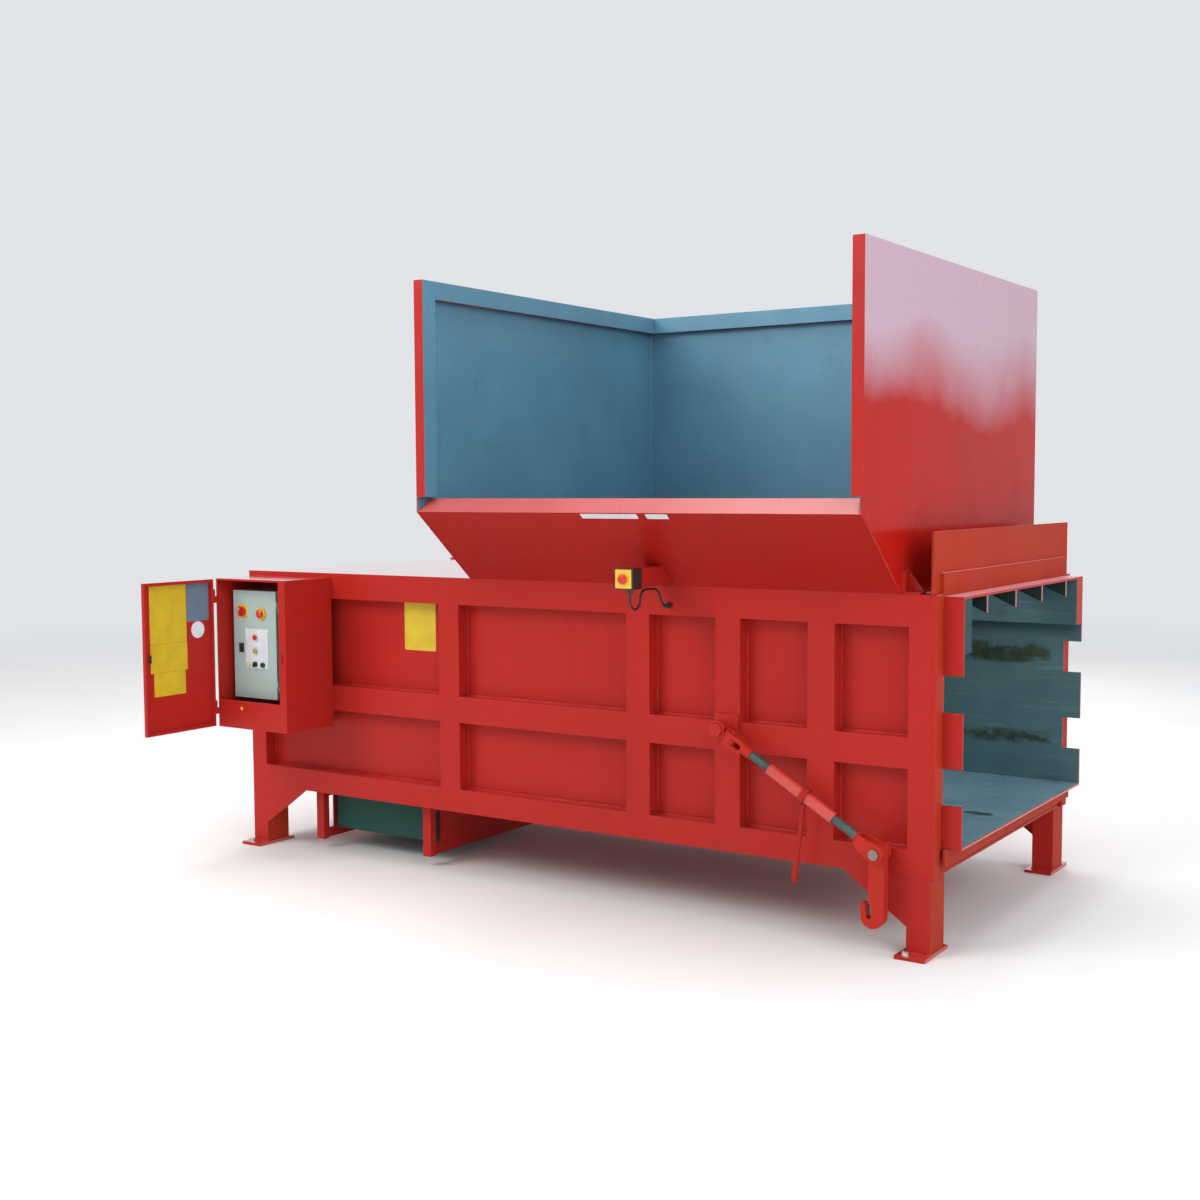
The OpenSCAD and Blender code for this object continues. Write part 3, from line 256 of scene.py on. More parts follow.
def scraped(name, base, bright, stain, rough=(0.3, 0.55), metal=0.25, rubs=()):
    """Paint inside the hopper and chamber, scraped by waste along the machine, rubbed dark in places."""
    s = Shader(name)
    s.set(Metallic=metal)
    soft, edge = s.edges(EDGE_R)
    cloud = s.spread(s.noise(1.6, 7, 0.6), 0.36, 0.68)
    lines = s.spread(s.noise(9, 8, 0.7, (0.35, 6, 6)), 0.56, 0.72, 0, 0.55)
    spots = s.spread(s.noise(4.5, 8, 0.72), 0.6, 0.72, 0, 0.5)
    color = s.mix(cloud, base, tuple(c * 1.22 for c in base))
    color = s.mix(lines, color, bright)
    color = s.mix(spots, color, stain)
    color = s.mix(s.math("MULTIPLY", edge, 0.5), color, bright)
    for limits in rubs:
        ragged = s.spread(s.noise(11, 8, 0.72, (0.8, 1, 1.5)), 0.34, 0.62, 0.1, 1.3)
        grime = s.math("MULTIPLY", s.patch(limits, RUB_SOFT), ragged)
        tone = s.mix(s.spread(s.noise(26, 6, 0.7), 0.4, 0.62), RUB_DARK, RUB_OLIVE)
        color = s.mix(s.spread(grime, 0.12, 0.6, 0, 0.92), color, tone)
    gloss = s.spread(s.noise(7, 5), 0.3, 0.7, *rough)
    normal = s.bump(s.noise(2.0, 2), 0.002, soft)
    normal = s.bump(s.noise(60, 6, 0.7, (0.2, 3, 3)), 0.00025, normal)
    return s.finish(color, gloss, normal)


def bare_metal(name, base, dark, rough=(0.25, 0.45), grain=0.0001, edge_r=0.0015, metal=1.0):
    """Plated or machined steel with fine grain and dull patches."""
    s = Shader(name)
    s.set(Metallic=metal)
    soft, edge = s.edges(edge_r)
    color = s.mix(s.spread(s.noise(18, 6, 0.65), 0.38, 0.66), base, dark)
    color = s.mix(s.math("MULTIPLY", edge, 0.6), color, tuple(min(1, c * 1.3) for c in base))
    gloss = s.spread(s.noise(30, 5), 0.3, 0.7, *rough)
    normal = s.bump(s.noise(420, 3), grain, soft)
    return s.finish(color, gloss, normal)


def plastic(name, base, rough=(0.3, 0.42), grain=0.00006, edge_r=0.001, coat=0.0):
    """Moulded plastic or thin plate: slight colour drift, fine grain and rubbed edges."""
    s = Shader(name)
    s.set(Coat_Weight=coat, Coat_Roughness=0.1)
    soft, edge = s.edges(edge_r)
    color = s.mix(s.spread(s.noise(14, 5), 0.35, 0.68), base, tuple(c * 0.86 for c in base))
    color = s.mix(s.math("MULTIPLY", edge, 0.35), color, tuple(min(1, c * 1.35 + 0.02) for c in base))
    gloss = s.spread(s.noise(40, 4), 0.3, 0.7, *rough)
    normal = s.bump(s.noise(700, 2), grain, soft)
    return s.finish(color, gloss, normal)


RED = paint("red_gloss", (0.425, 0.018, 0.013), (0.375, 0.019, 0.014), (0.58, 0.1, 0.06), spec=0.14)
# Matt copy of the red for faces that look +X: the lower gloss is real, its orange shift is painted side
# light.
MATT_SIDE_LIGHT_RED = paint("matt_red_painted_side_light", (0.4, 0.034, 0.014), (0.36, 0.034, 0.015), (0.6, 0.14, 0.07),
                 rough=(0.5, 0.62), spec=0.06)
# Darker copy of the hopper red for the downward-facing chute: painted shade.
CHUTE_SHADE_RED = paint("chute_red_painted_shade", (0.39, 0.014, 0.009), (0.345, 0.015, 0.01), (0.58, 0.1, 0.06), spec=0.16)
# Glossy red of the rear cover, also put on top faces of frames, cabinet, feet and post facings, where its
# lighter colour is a painted highlight.
COVER_AND_TOP_HIGHLIGHT_RED = paint("cover_red_and_painted_top_highlight", (0.5, 0.03, 0.024), (0.45, 0.034, 0.028), (0.62, 0.12, 0.08),
                  rough=(0.06, 0.16), spec=0.5, coat=1.0, wave=0.0004)
HOPPER_RED = paint("hopper_red", (0.43, 0.013, 0.008), (0.38, 0.015, 0.01), (0.62, 0.12, 0.07),
                   rough=(0.16, 0.3), spec=0.35, wave=0.005)
# Outer face of the right hopper panel: the pale pink above about 2.2 m is a painted reflection.
PANEL_REFLECTION_RED = paint("panel_red_painted_reflection", (0.42, 0.01, 0.006), (0.37, 0.013, 0.009), (0.6, 0.12, 0.07),
                  rough=(0.16, 0.3), spec=0.05, wave=0.004, painted_reflection=((0.495, 0.367, 0.448), 2.17, 2.53))
# Pink for the chute lip and for edges that face the sky or the camera side: a painted highlight.
EDGE_HIGHLIGHT_PINK = paint("painted_highlight_pink", (0.5, 0.1, 0.095), (0.44, 0.07, 0.065), (0.62, 0.2, 0.17),
                rough=(0.16, 0.3), spec=0.5)
CLAMP_RED = paint("clamp_red", (0.45, 0.022, 0.012), (0.4, 0.022, 0.013), (0.66, 0.15, 0.07),
                  rough=(0.3, 0.45), spec=0.14, wear=0.75, wave=0.0006)
SLEEVE_RED = paint("sleeve_red", (0.56, 0.05, 0.036), (0.5, 0.045, 0.034), (0.7, 0.17, 0.1),
                   rough=(0.16, 0.28), spec=0.5, coat=0.6, wear=0.75, wave=0.0006)
LEVER_RED = paint("lever_red", (0.37, 0.017, 0.012), (0.33, 0.017, 0.012), (0.56, 0.1, 0.06),
                  rough=(0.35, 0.5), spec=0.14, wear=0.75, wave=0.0006)
# Pale pink for the top faces of the upstand and lintel: a painted highlight.
TOP_HIGHLIGHT_PINK = paint("painted_top_highlight_pink", (0.72, 0.33, 0.36), (0.66, 0.27, 0.3), (0.75, 0.4, 0.4), spec=0.3)
HOPPER_GREY = scraped("hopper_grey", (0.085, 0.22, 0.31), (0.15, 0.28, 0.36), (0.07, 0.16, 0.21),
                      metal=0.1)
CHAMBER_TONES = ((0.05, 0.105, 0.12), (0.15, 0.22, 0.23), (0.045, 0.065, 0.06))
CHAMBER_GREY = scraped("chamber_grey", *CHAMBER_TONES, metal=0.1)
WALL_RUBS = ({"X": (1.36, 1.83), "Z": (1.02, 1.1)}, {"X": (1.36, 1.85), "Z": (0.622, 0.668)})
FLOOR_RUBS = ({"X": (1.75, 1.88), "Y": (-0.15, -0.105)},)
FLOOR_GREY = scraped("floor_grey", (0.135, 0.245, 0.295), (0.26, 0.35, 0.39), (0.07, 0.1, 0.105),
                     rough=(0.22, 0.45), rubs=FLOOR_RUBS)
FAR_WALL_GREY = scraped("far_wall_grey", *CHAMBER_TONES, metal=0.1, rubs=WALL_RUBS)
# Near-black for the retention claws, whose sides stand in shade: painted shade.
CLAW_SHADE_DARK = scraped("claw_painted_shade", (0.012, 0.021, 0.02), (0.05, 0.07, 0.07), (0.01, 0.015, 0.013),
                    metal=0.0)
# Dark grey for the near guide rail's ends: painted shade.
RAIL_END_SHADE_DARK = paint("rail_end_painted_shade", (0.035, 0.072, 0.082), (0.03, 0.06, 0.07), (0.08, 0.12, 0.13),
                      rough=(0.5, 0.62), spec=0.05)
TANK_GREEN = paint("tank_green", (0.01, 0.06, 0.046), (0.009, 0.05, 0.04), (0.08, 0.14, 0.12),
                   rough=(0.35, 0.5))
MOTOR_BLUE = paint("motor_blue", (0.1, 0.17, 0.26), (0.085, 0.15, 0.23), (0.3, 0.33, 0.36),
                   rough=(0.35, 0.5))
ENCLOSURE = paint("enclosure_grey", (0.4, 0.52, 0.49), (0.37, 0.49, 0.46), (0.56, 0.64, 0.62),
                  rough=(0.38, 0.5), peel=0.0003, wave=0.0004)
ZINC = bare_metal("zinc_plate", (0.66, 0.66, 0.63), (0.42, 0.43, 0.4))
PIN_STEEL = bare_metal("pin_steel", (0.31, 0.25, 0.23), (0.2, 0.17, 0.16), (0.3, 0.5))
DARK_STEEL = bare_metal("dark_steel", (0.1, 0.11, 0.11), (0.05, 0.055, 0.055), (0.35, 0.55))
THREAD_STEEL = bare_metal("thread_steel", (0.085, 0.125, 0.115), (0.035, 0.05, 0.047), (0.3, 0.5),
                          metal=0.3)
CHROME = bare_metal("chrome_rod", (0.78, 0.79, 0.8), (0.68, 0.69, 0.7), (0.06, 0.14), grain=0.00002)
PAD = plastic("wear_pad", (0.7, 0.62, 0.42), (0.5, 0.6))
BLACK = plastic("black_plastic", (0.022, 0.023, 0.025))
YELLOW = plastic("yellow_plastic", (0.83, 0.46, 0.025), coat=0.2)
LABEL_YELLOW = plastic("label_yellow", (0.64, 0.46, 0.02), (0.35, 0.5))
LABEL_GREY = plastic("label_grey", (0.13, 0.2, 0.27), (0.35, 0.5))
LABEL_WHITE = plastic("label_white", (0.72, 0.77, 0.83), (0.3, 0.45))
BUTTON_RED = plastic("button_red", (0.62, 0.018, 0.012), coat=0.3)
BUTTON_GREEN = plastic("button_green", (0.4, 0.4, 0.07), coat=0.3)
KEY_BLUE = plastic("key_blue", (0.025, 0.04, 0.075))
LAMP = plastic("lamp_lens", (0.72, 0.62, 0.28), (0.1, 0.18), coat=0.5)
RUBBER = plastic("rubber_sheath", (0.016, 0.016, 0.017), (0.5, 0.65), grain=0.00012)
WELD = paint("weld_bead", (0.48, 0.013, 0.008), (0.42, 0.014, 0.009), (0.6, 0.12, 0.07), wave=0.0)


# Finishes of the solids: one for the whole node, or others by a face's direction
PLAIN = {
    RED: ["floor_bearers", "pack_hangers", "cabinet_door", "estop_arm"],
    COVER_AND_TOP_HIGHLIGHT_RED: ["rear_cover"],
    CLAMP_RED: ["clamp_lug", "clamp_swivel", "clamp_fork", "clamp_clevis", "container_hook"],
    SLEEVE_RED: ["clamp_sleeve"],
    LEVER_RED: ["tommy_bar"],
    CHAMBER_GREY: ["ram_body"],
    PAD: ["ram_pads"],
    ZINC: ["anchor_bolts", "cylinder_pin"],
    PIN_STEEL: ["clevis_pin"],
    DARK_STEEL: ["cylinder_barrel", "gear_pump"],
    CHROME: ["cylinder_stage", "cylinder_rod"],
    TANK_GREEN: ["oil_tank"],
    MOTOR_BLUE: ["pump_motor"],
    ENCLOSURE: ["control_enclosure", "enclosure_door"],
    BLACK: ["door_lock", "switchgear", "selector_switch", "enclosure_lock", "estop_box", "cable_glands"],
    KEY_BLUE: ["key_switch"],
    YELLOW: ["isolator_plate", "estop_collar", "side_estop_plate"],
    BUTTON_RED: ["isolator_knob", "estop_button", "side_estop_button", "stop_button"],
    BUTTON_GREEN: ["start_button"],
    LABEL_WHITE: ["control_plate"],
    LAMP: ["pilot_lamp"],
    RUBBER: ["estop_cable"],
}
X, Y, Z = Vector((1, 0, 0)), Vector((0, 1, 0)), Vector((0, 0, 1))
LIP_FACING = Vector((0, -0.6, 0.8))
# Faces by direction also carry painted light: lighter tops and pink lips and edges are painted highlights,
# orange +X faces are painted side light, and dark claws and near rail ends are painted shade.
BY_FACING = {
    "near_side_frame": (RED, [(Z, COVER_AND_TOP_HIGHLIGHT_RED)]),
    "far_side_frame": (RED, [(Z, COVER_AND_TOP_HIGHLIGHT_RED)]),
    "foot_plates": (RED, [(Z, COVER_AND_TOP_HIGHLIGHT_RED), (X, EDGE_HIGHLIGHT_PINK)]),
    "control_cabinet": (RED, [(Z, COVER_AND_TOP_HIGHLIGHT_RED)]),
    "legs": (RED, [(X, MATT_SIDE_LIGHT_RED)]),
    "mouth_upstand": (MATT_SIDE_LIGHT_RED, [(Z, TOP_HIGHLIGHT_PINK)]),
    "near_side_wall": (RED, [(Y, CHAMBER_GREY)]),
    "far_side_wall": (RED, [(-Y, FAR_WALL_GREY)]),
    "hopper_left_panel": (HOPPER_RED, [(X, HOPPER_GREY)]),
    "hopper_right_panel": (HOPPER_RED, [(-X, HOPPER_GREY), (X, PANEL_REFLECTION_RED)]),
    "hopper_back_panel": (HOPPER_RED, [(-Y, HOPPER_GREY)]),
    "hopper_front_chute": (CHUTE_SHADE_RED, [(LIP_FACING, EDGE_HIGHLIGHT_PINK)]),
    "rear_bulkhead": (RED, [(X, CHAMBER_GREY)]),
    "chamber_floor": (RED, [(Z, FLOOR_GREY)]),
    "mouth_lintel": (RED, [(-Z, CHAMBER_GREY), (Z, TOP_HIGHLIGHT_PINK)]),
    "retention_claws": (CLAW_SHADE_DARK, [(X, EDGE_HIGHLIGHT_PINK)]),
    "guide_rails": (CHAMBER_GREY, [(X, RED), (-X, RAIL_END_SHADE_DARK)]),
}
FACING = 0.7
RAIL_END_SHADE_SLOT = 2


def dress(data, base, sides=()):
    """One finish for a mesh, and others for its faces by their direction."""
    data.materials.clear()
    data.materials.append(base)
    for index, (facing, material) in enumerate(sides, 1):
        data.materials.append(material)
        for face in data.polygons:
            if face.normal.dot(facing) > FACING:
                face.material_index = index


def dress_nodes():
    """The tables above, with a dark grey painted shade instead of red on the near guide rail's ends."""
    for material, names in PLAIN.items():
        for name in names:
            dress(NODES[name].data, material)
    for name, (base, sides) in BY_FACING.items():
        dress(NODES[name].data, base, sides)
    for face in NODES["guide_rails"].data.polygons:
        if face.center.y < 0 and face.material_index:
            face.material_index = RAIL_END_SHADE_SLOT


dress_nodes()
cable.data.materials.append(RUBBER)


# Studio: a pale floor, a pale world and large soft lights
FLOOR_SIZE = 120
FLOOR_FADE = (5, 16)
FLOOR_TONES = ((0.8, 0.8, 0.79), (0.76, 0.76, 0.755))
FLOOR_ROUGH = 0.75
BLACKOUT = (0, 0, 0)
SKY_COLOR = (0.95, 0.97, 1, 1)
SKY_STRENGTH = 0.8
WHITE = (1, 1, 1)
# Name, place, aim, size, power and tint
LIGHTS = [
    ("key", (-3.5, -7.5, 6.5), (0, -0.5, 1), (5, 4), 400, (1, 0.98, 0.95)),
    ("fill", (7.5, -3.5, 4.0), (0.8, 0, 1), (5, 5), 230, (0.95, 0.98, 1)),
    ("top", (0.3, -0.3, 8.5), (0.3, 0, 0), (7, 6), 330, WHITE),
    ("back", (-3, 7, 5), (0, 0.5, 1.2), (6, 4), 200, WHITE),
]


def make_floor():
    """A pale floor that fades into the world's own light far from the machine."""
    mesh = bpy.data.meshes.new("floor")
    half = FLOOR_SIZE / 2
    corners = [(-half, -half, 0), (half, -half, 0), (half, half, 0), (-half, half, 0)]
    mesh.from_pydata(corners, [], [(0, 1, 2, 3)])
    floor = bpy.data.objects.new("floor", mesh)
    bpy.context.scene.collection.objects.link(floor)
    s = Shader("studio_floor")
    shade = s.mix(s.spread(s.noise(0.7, 4), 0.3, 0.7), *FLOOR_TONES)
    reach = s.node("ShaderNodeVectorMath", operation="LENGTH")
    s.link(s.place, reach.inputs[0])
    fade = s.spread(reach.outputs["Value"], *FLOOR_FADE)
    s.link(s.mix(fade, shade, BLACKOUT), s.bsdf.inputs["Base Color"])
    s.link(s.math("MULTIPLY", fade, SKY_STRENGTH), s.bsdf.inputs["Emission Strength"])
    s.set(Roughness=FLOOR_ROUGH, Specular_IOR_Level=0.0, Emission_Color=SKY_COLOR)
    mesh.materials.append(s.material)


def area_light(name, at, aim, size, power, tint):
    data = bpy.data.lights.new(name, "AREA")
    data.shape = "RECTANGLE"
    data.size, data.size_y = size
    data.energy = power
    data.color = tint
    light = bpy.data.objects.new(name, data)
    light.location = at
    light.rotation_euler = (Vector(aim) - Vector(at)).to_track_quat("-Z", "Y").to_euler()
    bpy.context.scene.collection.objects.link(light)


def make_studio():
    make_floor()
    for light in LIGHTS:
        area_light(*light)
    world = bpy.context.scene.world or bpy.data.worlds.new("studio")
    bpy.context.scene.world = world
    world.use_nodes = True
    sky = next(n for n in world.node_tree.nodes if n.type == "BACKGROUND")
    sky.inputs["Color"].default_value = SKY_COLOR
    sky.inputs["Strength"].default_value = SKY_STRENGTH
    bpy.context.scene.view_settings.view_transform = "Standard"


make_studio()


# Mesh helpers
def add_piece(name, bm, material, body, smooth=False, sides=()):
    """Makes a piece of the object from a bmesh and rides it on a body."""
    bmesh.ops.recalc_face_normals(bm, faces=bm.faces)
    mesh = bpy.data.meshes.new(name)
    bm.to_mesh(mesh)
    bm.free()
    if smooth:
        mesh.shade_smooth()
    dress(mesh, material, sides)
    piece = bpy.data.objects.new(name, mesh)
    bpy.context.scene.collection.objects.link(piece)
    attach(piece, body)
    return piece


def skin(bm, rings):
    """Faces between rings of vertices, with end caps."""
    rows = [[bm.verts.new(p) for p in ring] for ring in rings]
    count = len(rows[0])
    for low, high in zip(rows, rows[1:]):
        for i in range(count):
            j = (i + 1) % count
            bm.faces.new((low[i], low[j], high[j], high[i]))
    bm.faces.new(rows[0][::-1])
    bm.faces.new(rows[-1])


def rounded_outline(width, height, radius, steps=6):
    """Points round a rectangle with arcs at its corners."""
    points = []
    for quarter, (sx, sy) in enumerate(((1, 1), (-1, 1), (-1, -1), (1, -1))):
        for k in range(steps + 1):
            angle = math.radians(90 * (quarter + k / steps))
            points.append((sx * (width / 2 - radius) + radius * math.cos(angle),
                           sy * (height / 2 - radius) + radius * math.sin(angle)))
    return points


def plate_mesh(bm, center, right, up, width, height, thick, radius, bevel):
    """A plate with rounded corners and a bevelled front edge, standing off a face."""
    out = right.cross(up)
    rings = []
    for lift, inset in ((0, 0), (thick - bevel, 0), (thick, bevel)):
        outline = rounded_outline(width - 2 * inset, height - 2 * inset, max(radius - inset, bevel / 4))
        rings.append([center + right * a + up * b + out * lift for a, b in outline])
    skin(bm, rings)


def plate(name, center, right, up, size, material, body, thick=0.0015, radius=0.006, bevel=0.0005):
    bm = bmesh.new()
    plate_mesh(bm, Vector(center), right, up, *size, thick, radius, bevel)
    return add_piece(name, bm, material, body)


BEAD_PITCH = 0.007
BEAD_SIDES = 6
BEAD_LOW = 0.82
BEAD_RIPPLE = 0.3
BEAD_DRIFT = 0.1


def bead_mesh(bm, start, end, radius, draw):
    """One run of weld: a rippled tube between two points."""
    along = (end - start).normalized()
    side = along.orthogonal().normalized()
    lift = along.cross(side)
    count = max(2, round((end - start).length / BEAD_PITCH))
    angles = [2 * math.pi * i / BEAD_SIDES for i in range(BEAD_SIDES)]
    rings = []
    for k in range(count + 1):
        swell = radius * (BEAD_LOW + BEAD_RIPPLE * (k % 2) + draw.uniform(-BEAD_DRIFT, BEAD_DRIFT))
        at = start.lerp(end, k / count)
        rings.append([at + swell * (math.cos(a) * side + math.sin(a) * lift) for a in angles])
    skin(bm, rings)


# Plain plates where the machine carries labels, and a stud on the cabinet
BAY_PLATE_X, BAY_PLATE_Z = -0.779, 1.2
BAY_PLATE_SIZE = (0.198, 0.24)
DOOR_INNER_X = -1.799
DOOR_PLATE_T = 0.001
# Name, y and z of the middle, width, height, finish and slot
DOOR_PLATES = [
    ("door_plate_upper", -1.4946, 1.2705, 0.228, 0.293, LABEL_YELLOW, "yellow_plastic"),
    ("door_plate_middle", -1.4936, 1.0525, 0.23, 0.141, LABEL_YELLOW, "yellow_plastic"),
    ("door_plate_lower", -1.491, 0.9235, 0.196, 0.115, LABEL_YELLOW, "yellow_plastic"),
    ("door_plate_grey", -1.3065, 1.3185, 0.141, 0.197, LABEL_GREY, "grey_paint"),
]
ROUND_PLATE_Y, ROUND_PLATE_Z = -1.308, 1.176
ROUND_PLATE_SIZE = (0.084, 0.084)
ROUND_PLATE_R = 0.0418
STUD_AT = (-1.6186, -1.195, 0.7775)
STUD_SIZE = (0.018, 0.018)
STUD_T = 0.002
STUD_R = 0.0088
STUD_BEVEL = 0.0008


def wall_plate():
    """Yellow plate on the near wall, in the second bay."""
    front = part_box("near_side_wall")[0][1]
    plate("bay_plate", (BAY_PLATE_X, front, BAY_PLATE_Z), X, Z, BAY_PLATE_SIZE, LABEL_YELLOW,
          "machine")


def door_plates():
    """Plates on the inside of the open cabinet door."""
    for name, y, z, width, height, material, slot in DOOR_PLATES:
        plate(name, (DOOR_INNER_X, y, z), Y, Z, (width, height), material, "outer_door",
              thick=DOOR_PLATE_T)
    plate("door_plate_round", (DOOR_INNER_X, ROUND_PLATE_Y, ROUND_PLATE_Z), Y, Z, ROUND_PLATE_SIZE,
          LABEL_WHITE, "outer_door", thick=DOOR_PLATE_T, radius=ROUND_PLATE_R)


wall_plate()
door_plates()
plate("cabinet_stud", STUD_AT, X, Z, STUD_SIZE, YELLOW, "machine",
      thick=STUD_T, radius=STUD_R, bevel=STUD_BEVEL)


# Mouth: facings on the end posts, the end bearer's web, and the floor sheet with its lip set back
FRAME_D = 0.07
BEARER_T = 0.008
FLOOR_T = 0.012
POST_CAP_T = 0.016
LIP_BACK = 0.056
LIP_BOTTOM = 0.365
LIP_L = 1.64
EDGE_ROUND = 0.002


def mouth_trim():
    """Facings on the two end posts, and a web between the end bearer's flanges."""
    low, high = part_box("near_side_frame")
    bm = bmesh.new()
    for y in (low[1] + FRAME_D / 2, -low[1] - FRAME_D / 2):
        center = Vector((high[0], y, (low[2] + high[2]) / 2))
        plate_mesh(bm, center, Y, Z, FRAME_D, high[2] - low[2], POST_CAP_T, EDGE_ROUND, EDGE_ROUND)
    # Their +X faces take the orange painted side light, their tops the painted top highlight.
    add_piece("post_facings", bm, RED, "machine", sides=[(X, MATT_SIDE_LIGHT_RED), (Z, COVER_AND_TOP_HIGHLIGHT_RED)])
    low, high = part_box("floor_bearers")
    bm = bmesh.new()
    center = Vector((high[0] - BEARER_T, 0, (low[2] + high[2]) / 2))
    plate_mesh(bm, center, Y, Z, high[1] - low[1], high[2] - low[2] - 2 * BEARER_T,
               BEARER_T - EDGE_ROUND, EDGE_ROUND, EDGE_ROUND / 2)
    # The web looks +X and takes the orange painted side light.
    add_piece("mouth_sill_web", bm, MATT_SIDE_LIGHT_RED, "machine")


def mouth_floor():
    """Floor sheet with a softened front edge and a lip under it."""
    low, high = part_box("chamber_floor")
    top, front, r = high[2], high[0], EDGE_ROUND
    under = top - FLOOR_T
    outline = [(low[0], under), (front - r, under), (front, under + r),
               (front, top - r), (front - r, top), (low[0], top)]
    bm = bmesh.new()
    skin(bm, [[(x, y, z) for x, z in outline] for y in (low[1], high[1])])
    lip = Vector((front - LIP_BACK - FLOOR_T, 0, (under + LIP_BOTTOM) / 2))
    plate_mesh(bm, lip, Y, Z, LIP_L, under - LIP_BOTTOM, FLOOR_T, r, r)
    # Its +X faces take the orange painted side light, and its rounded front edge the pink painted
    # highlight.
    piece = add_piece("floor_sheet", bm, RED, "machine",
                      sides=[(Z, FLOOR_GREY), (X, MATT_SIDE_LIGHT_RED)])
    piece.data.materials.append(EDGE_HIGHLIGHT_PINK)
    for face in piece.data.polygons:
        if face.center.x > front - r and face.normal.z < FACING:
            face.material_index = len(piece.data.materials) - 1
    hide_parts("chamber_floor")


mouth_trim()
mouth_floor()


# Threads on the clamp's rods, placed by their distance along the clamp's own axis
CLAMP_START = Vector((0.9742, -0.95, 0.858))
CLAMP_SLOPE = math.radians(31)
CLAMP_ALONG = Vector((math.cos(CLAMP_SLOPE), 0, -math.sin(CLAMP_SLOPE)))
THREAD_R = 0.018
THREAD_PITCH = 0.006
THREAD_HEIGHT = 0.0014
THREAD_ROOT = -0.0005
THREAD_ROOT_SHARE = 0.42
THREAD_CREST_SHARE = 0.2
THREAD_STEPS = 28
ROD_SLACK = 0.0003
# The clevis's thread starts inside the sleeve, because the sleeve's turn brings that length out
THREADS = {"fork_thread": (0.184, 0.283, "fork"), "clevis_thread": (0.556, 0.731, "clevis")}


def thread(name, start, end, body):
    """A trapezoidal thread wound along a length of rod."""
    up = CLAMP_ALONG.cross(Y).normalized()
    profile = ((THREAD_ROOT, -THREAD_ROOT_SHARE), (THREAD_HEIGHT, -THREAD_CREST_SHARE),
               (THREAD_HEIGHT, THREAD_CREST_SHARE), (THREAD_ROOT, THREAD_ROOT_SHARE))
    turns = (end - start) / THREAD_PITCH - 1
    rings = []
    for k in range(int(turns * THREAD_STEPS) + 1):
        angle = 2 * math.pi * k / THREAD_STEPS
        out = math.cos(angle) * Y + math.sin(angle) * up
        at = CLAMP_START + CLAMP_ALONG * (start + THREAD_PITCH * (0.5 + k / THREAD_STEPS))
        rings.append([at + out * (THREAD_R + h) + CLAMP_ALONG * THREAD_PITCH * w for h, w in profile])
    bm = bmesh.new()
    skin(bm, rings)
    add_piece(name, bm, THREAD_STEEL, body)


def bare_rod(name):
    """Puts steel on the faces of a node that lie on its screw's rod."""
    data = NODES[name].data
    data.materials.append(THREAD_STEEL)
    for face in data.polygons:
        spots = [data.vertices[v].co - CLAMP_START for v in face.vertices]
        if all((p - CLAMP_ALONG * p.dot(CLAMP_ALONG)).length < THREAD_R + ROD_SLACK for p in spots):
            face.material_index = len(data.materials) - 1


for name, (start, end, body) in THREADS.items():
    thread(name, start, end, body)
for name in ("clamp_fork", "clamp_clevis"):
    bare_rod(name)


# Pale bars on the chute below its lip
CHUTE_FOOT = Vector((0, -0.87, 1.45))
CHUTE_LIP = Vector((0, -1.25, 1.77))
LIP_BARS = {"lip_bar_long": (0.475, 0.755), "lip_bar_short": (0.795, 0.9)}
LIP_BAR_H = 0.03
LIP_BAR_DROP = 0.022
LIP_BAR_T = 0.0008


def lip_bars():
    up = (CHUTE_LIP - CHUTE_FOOT).normalized()
    for name, (x0, x1) in LIP_BARS.items():
        at = CHUTE_LIP - up * LIP_BAR_DROP + X * (x0 + x1) / 2
        plate(name, at, X, up, (x1 - x0, LIP_BAR_H), LABEL_WHITE, "machine",
              thick=LIP_BAR_T)


lip_bars()


# Weld beads along the frame's bays, corners and feet, and in the hopper
RIB_SHARES = (0.356, 0.639, 0.758, 0.873)
RIB_W = 0.12
POST_W = 0.1
SILL_H = 0.111
TOP_RAIL_H = 0.129
MID_RAIL_Z = 0.754
MID_RAIL_H = 0.126
LEG_D = 0.15
HOPPER_T = 0.006
HOPPER_FOOT_L = 0.073
RIM_H = 0.08
BEAD_R = 0.0045


def loop_segments(corners):
    """Runs from corner to corner and back to the first."""
    return list(zip(corners, corners[1:] + corners[:1]))


def bay_segments(side):
    """Runs of weld where the frame meets the wall, round each bay, for the near (-1) or far (1) side."""
    low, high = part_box("near_side_frame")
    y = side * (-low[1] - FRAME_D)
    length = high[0] - low[0]
    ribs = [low[0] + share * length for share in RIB_SHARES]
    starts = [low[0] + POST_W] + [x + RIB_W / 2 for x in ribs]
    ends = [x - RIB_W / 2 for x in ribs] + [high[0] - POST_W]
    rows = ((low[2] + SILL_H, MID_RAIL_Z), (MID_RAIL_Z + MID_RAIL_H, high[2] - TOP_RAIL_H))
    segments = []
    for x0, x1 in zip(starts, ends):
        for z0, z1 in rows:
            corners = ((x0, z0), (x1, z0), (x1, z1), (x0, z1))
            segments += loop_segments([Vector((x, y, z)) for x, z in corners])
    return segments


def foot_segments():
    """Runs of weld round the legs, on their foot plates."""
    low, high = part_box("legs")
    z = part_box("foot_plates")[1][2]
    segments = []
    for x0, x1 in ((low[0], low[0] + POST_W), (high[0] - POST_W, high[0])):
        for y0, y1 in ((low[1], low[1] + LEG_D), (high[1] - LEG_D, high[1])):
            corners = ((x0, y0), (x1, y0), (x1, y1), (x0, y1))
            segments += loop_segments([Vector((x, y, z)) for x, y in corners])
    return segments


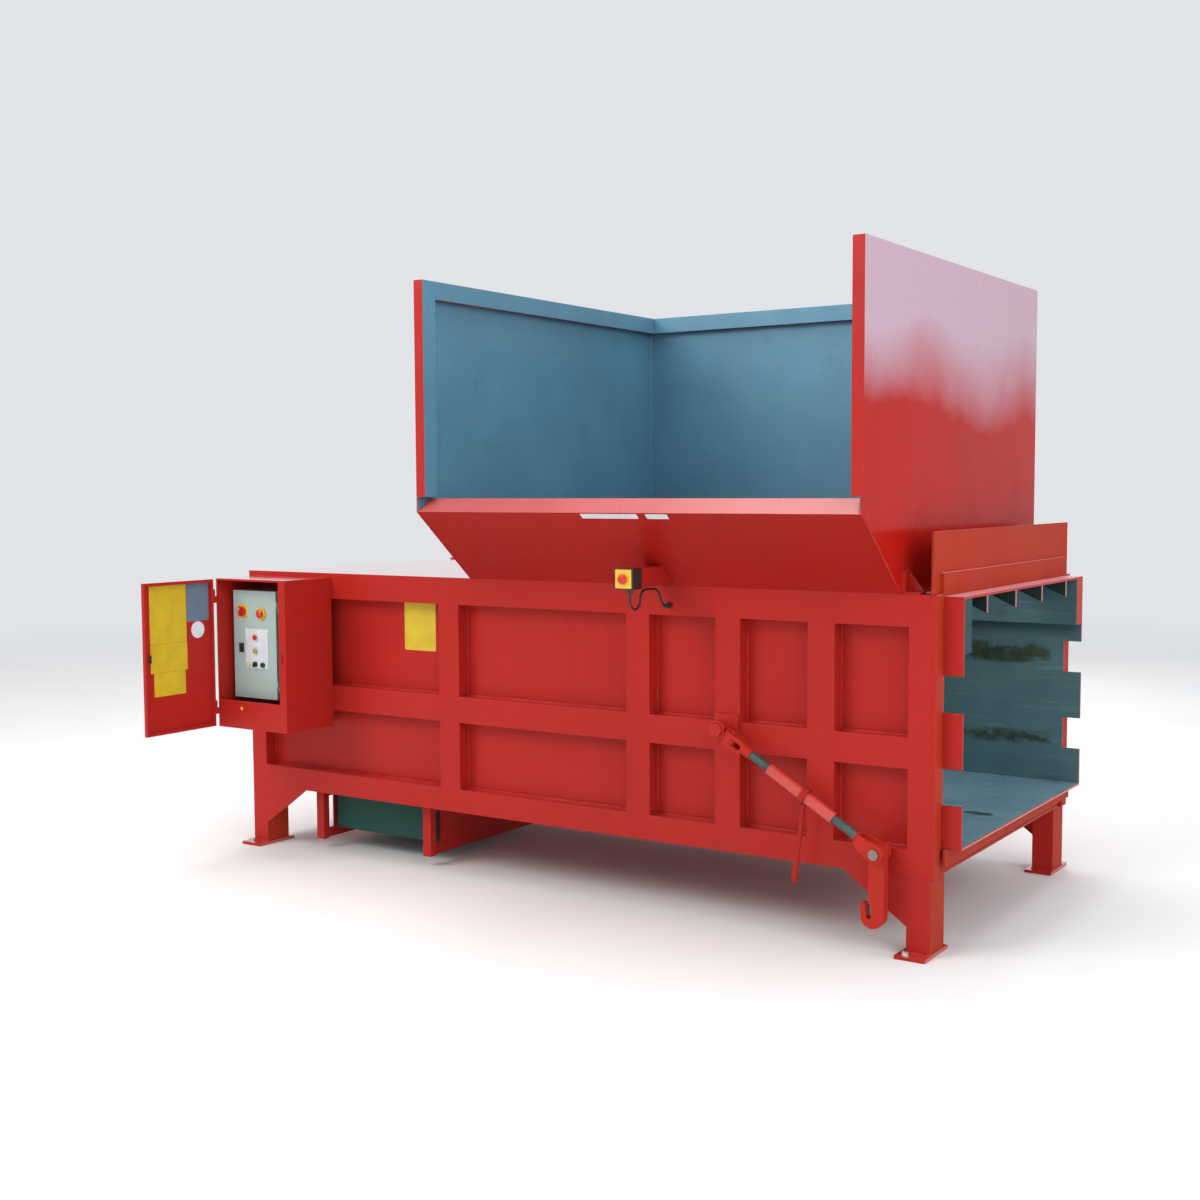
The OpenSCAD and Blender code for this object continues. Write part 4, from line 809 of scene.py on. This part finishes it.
def mitre_segments():
    """Ground welds across the corners of the near and far frames."""
    low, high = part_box("near_side_frame")
    segments = []
    for y in (low[1], -low[1]):
        for x, step in ((low[0], POST_W), (high[0], -POST_W)):
            segments.append((Vector((x + step, y, high[2] - TOP_RAIL_H)), Vector((x, y, high[2]))))
    return segments


def hopper_segments():
    """Runs of weld in the hopper's back corners, and those down the chute's sides."""
    left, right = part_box("hopper_left_panel"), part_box("hopper_right_panel")
    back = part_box("hopper_back_panel")
    y = back[1][1] - HOPPER_T
    corners, sides = [], []
    for x in (left[0][0] + HOPPER_T, right[1][0] - HOPPER_FOOT_L - HOPPER_T):
        corners.append((Vector((x, y, back[0][2])), Vector((x, y, back[1][2] - RIM_H))))
        sides.append((CHUTE_FOOT + X * x, CHUTE_LIP + X * x))
    return corners, sides


def weld(name, segments, radius, material=WELD):
    """One piece from many runs of weld."""
    draw = random.Random(name)
    bm = bmesh.new()
    for start, end in segments:
        bead_mesh(bm, start, end, radius, draw)
    add_piece(name, bm, material, "machine", smooth=True)


weld("near_bay_welds", bay_segments(-1), BEAD_R)
weld("far_bay_welds", bay_segments(1), BEAD_R)
weld("foot_welds", foot_segments(), BEAD_R)
weld("mitre_welds", mitre_segments(), BEAD_R / 2)
hopper_corners, chute_sides = hopper_segments()
weld("hopper_welds", hopper_corners, BEAD_R, HOPPER_GREY)
weld("chute_welds", chute_sides, BEAD_R)


# Controls: pointer marks, by place, width, height and body, and the lamp's dome
POINTERS = {
    "isolator_pointer": (-1.6881, -1.1363, 1.2718, 0.004, 0.012, "isolator"),
    "selector_pointer": (-1.5999, -1.1323, 1.0008, 0.0022, 0.008, "selector"),
}
POINTER_T = 0.0006
POINTER_R = 0.0009
POINTER_BEVEL = 0.0002
LAMP_AT = Vector((-1.647, -1.1193, 0.9932))
LAMP_R = 0.0095
LAMP_RISE = 0.004
DOME_RINGS = 6
DOME_SIDES = 32
DOME_SPAN = 85


def control_marks():
    for name, (x, y, z, width, height, body) in POINTERS.items():
        plate(name, (x, y, z), X, Z, (width, height), LABEL_WHITE, body,
              thick=POINTER_T, radius=POINTER_R, bevel=POINTER_BEVEL)


def lamp_dome():
    """A shallow dome on the pilot lamp, flat at its top."""
    angles = [2 * math.pi * i / DOME_SIDES for i in range(DOME_SIDES)]
    rings = []
    for k in range(DOME_RINGS + 1):
        rise = math.radians(DOME_SPAN * k / DOME_RINGS)
        radius = LAMP_R * math.cos(rise)
        at = LAMP_AT - Y * LAMP_RISE * math.sin(rise)
        rings.append([at + radius * (math.cos(a) * X + math.sin(a) * Z) for a in angles])
    bm = bmesh.new()
    skin(bm, rings)
    add_piece("lamp_dome", bm, LAMP, "panel_door", smooth=True)


control_marks()
lamp_dome()
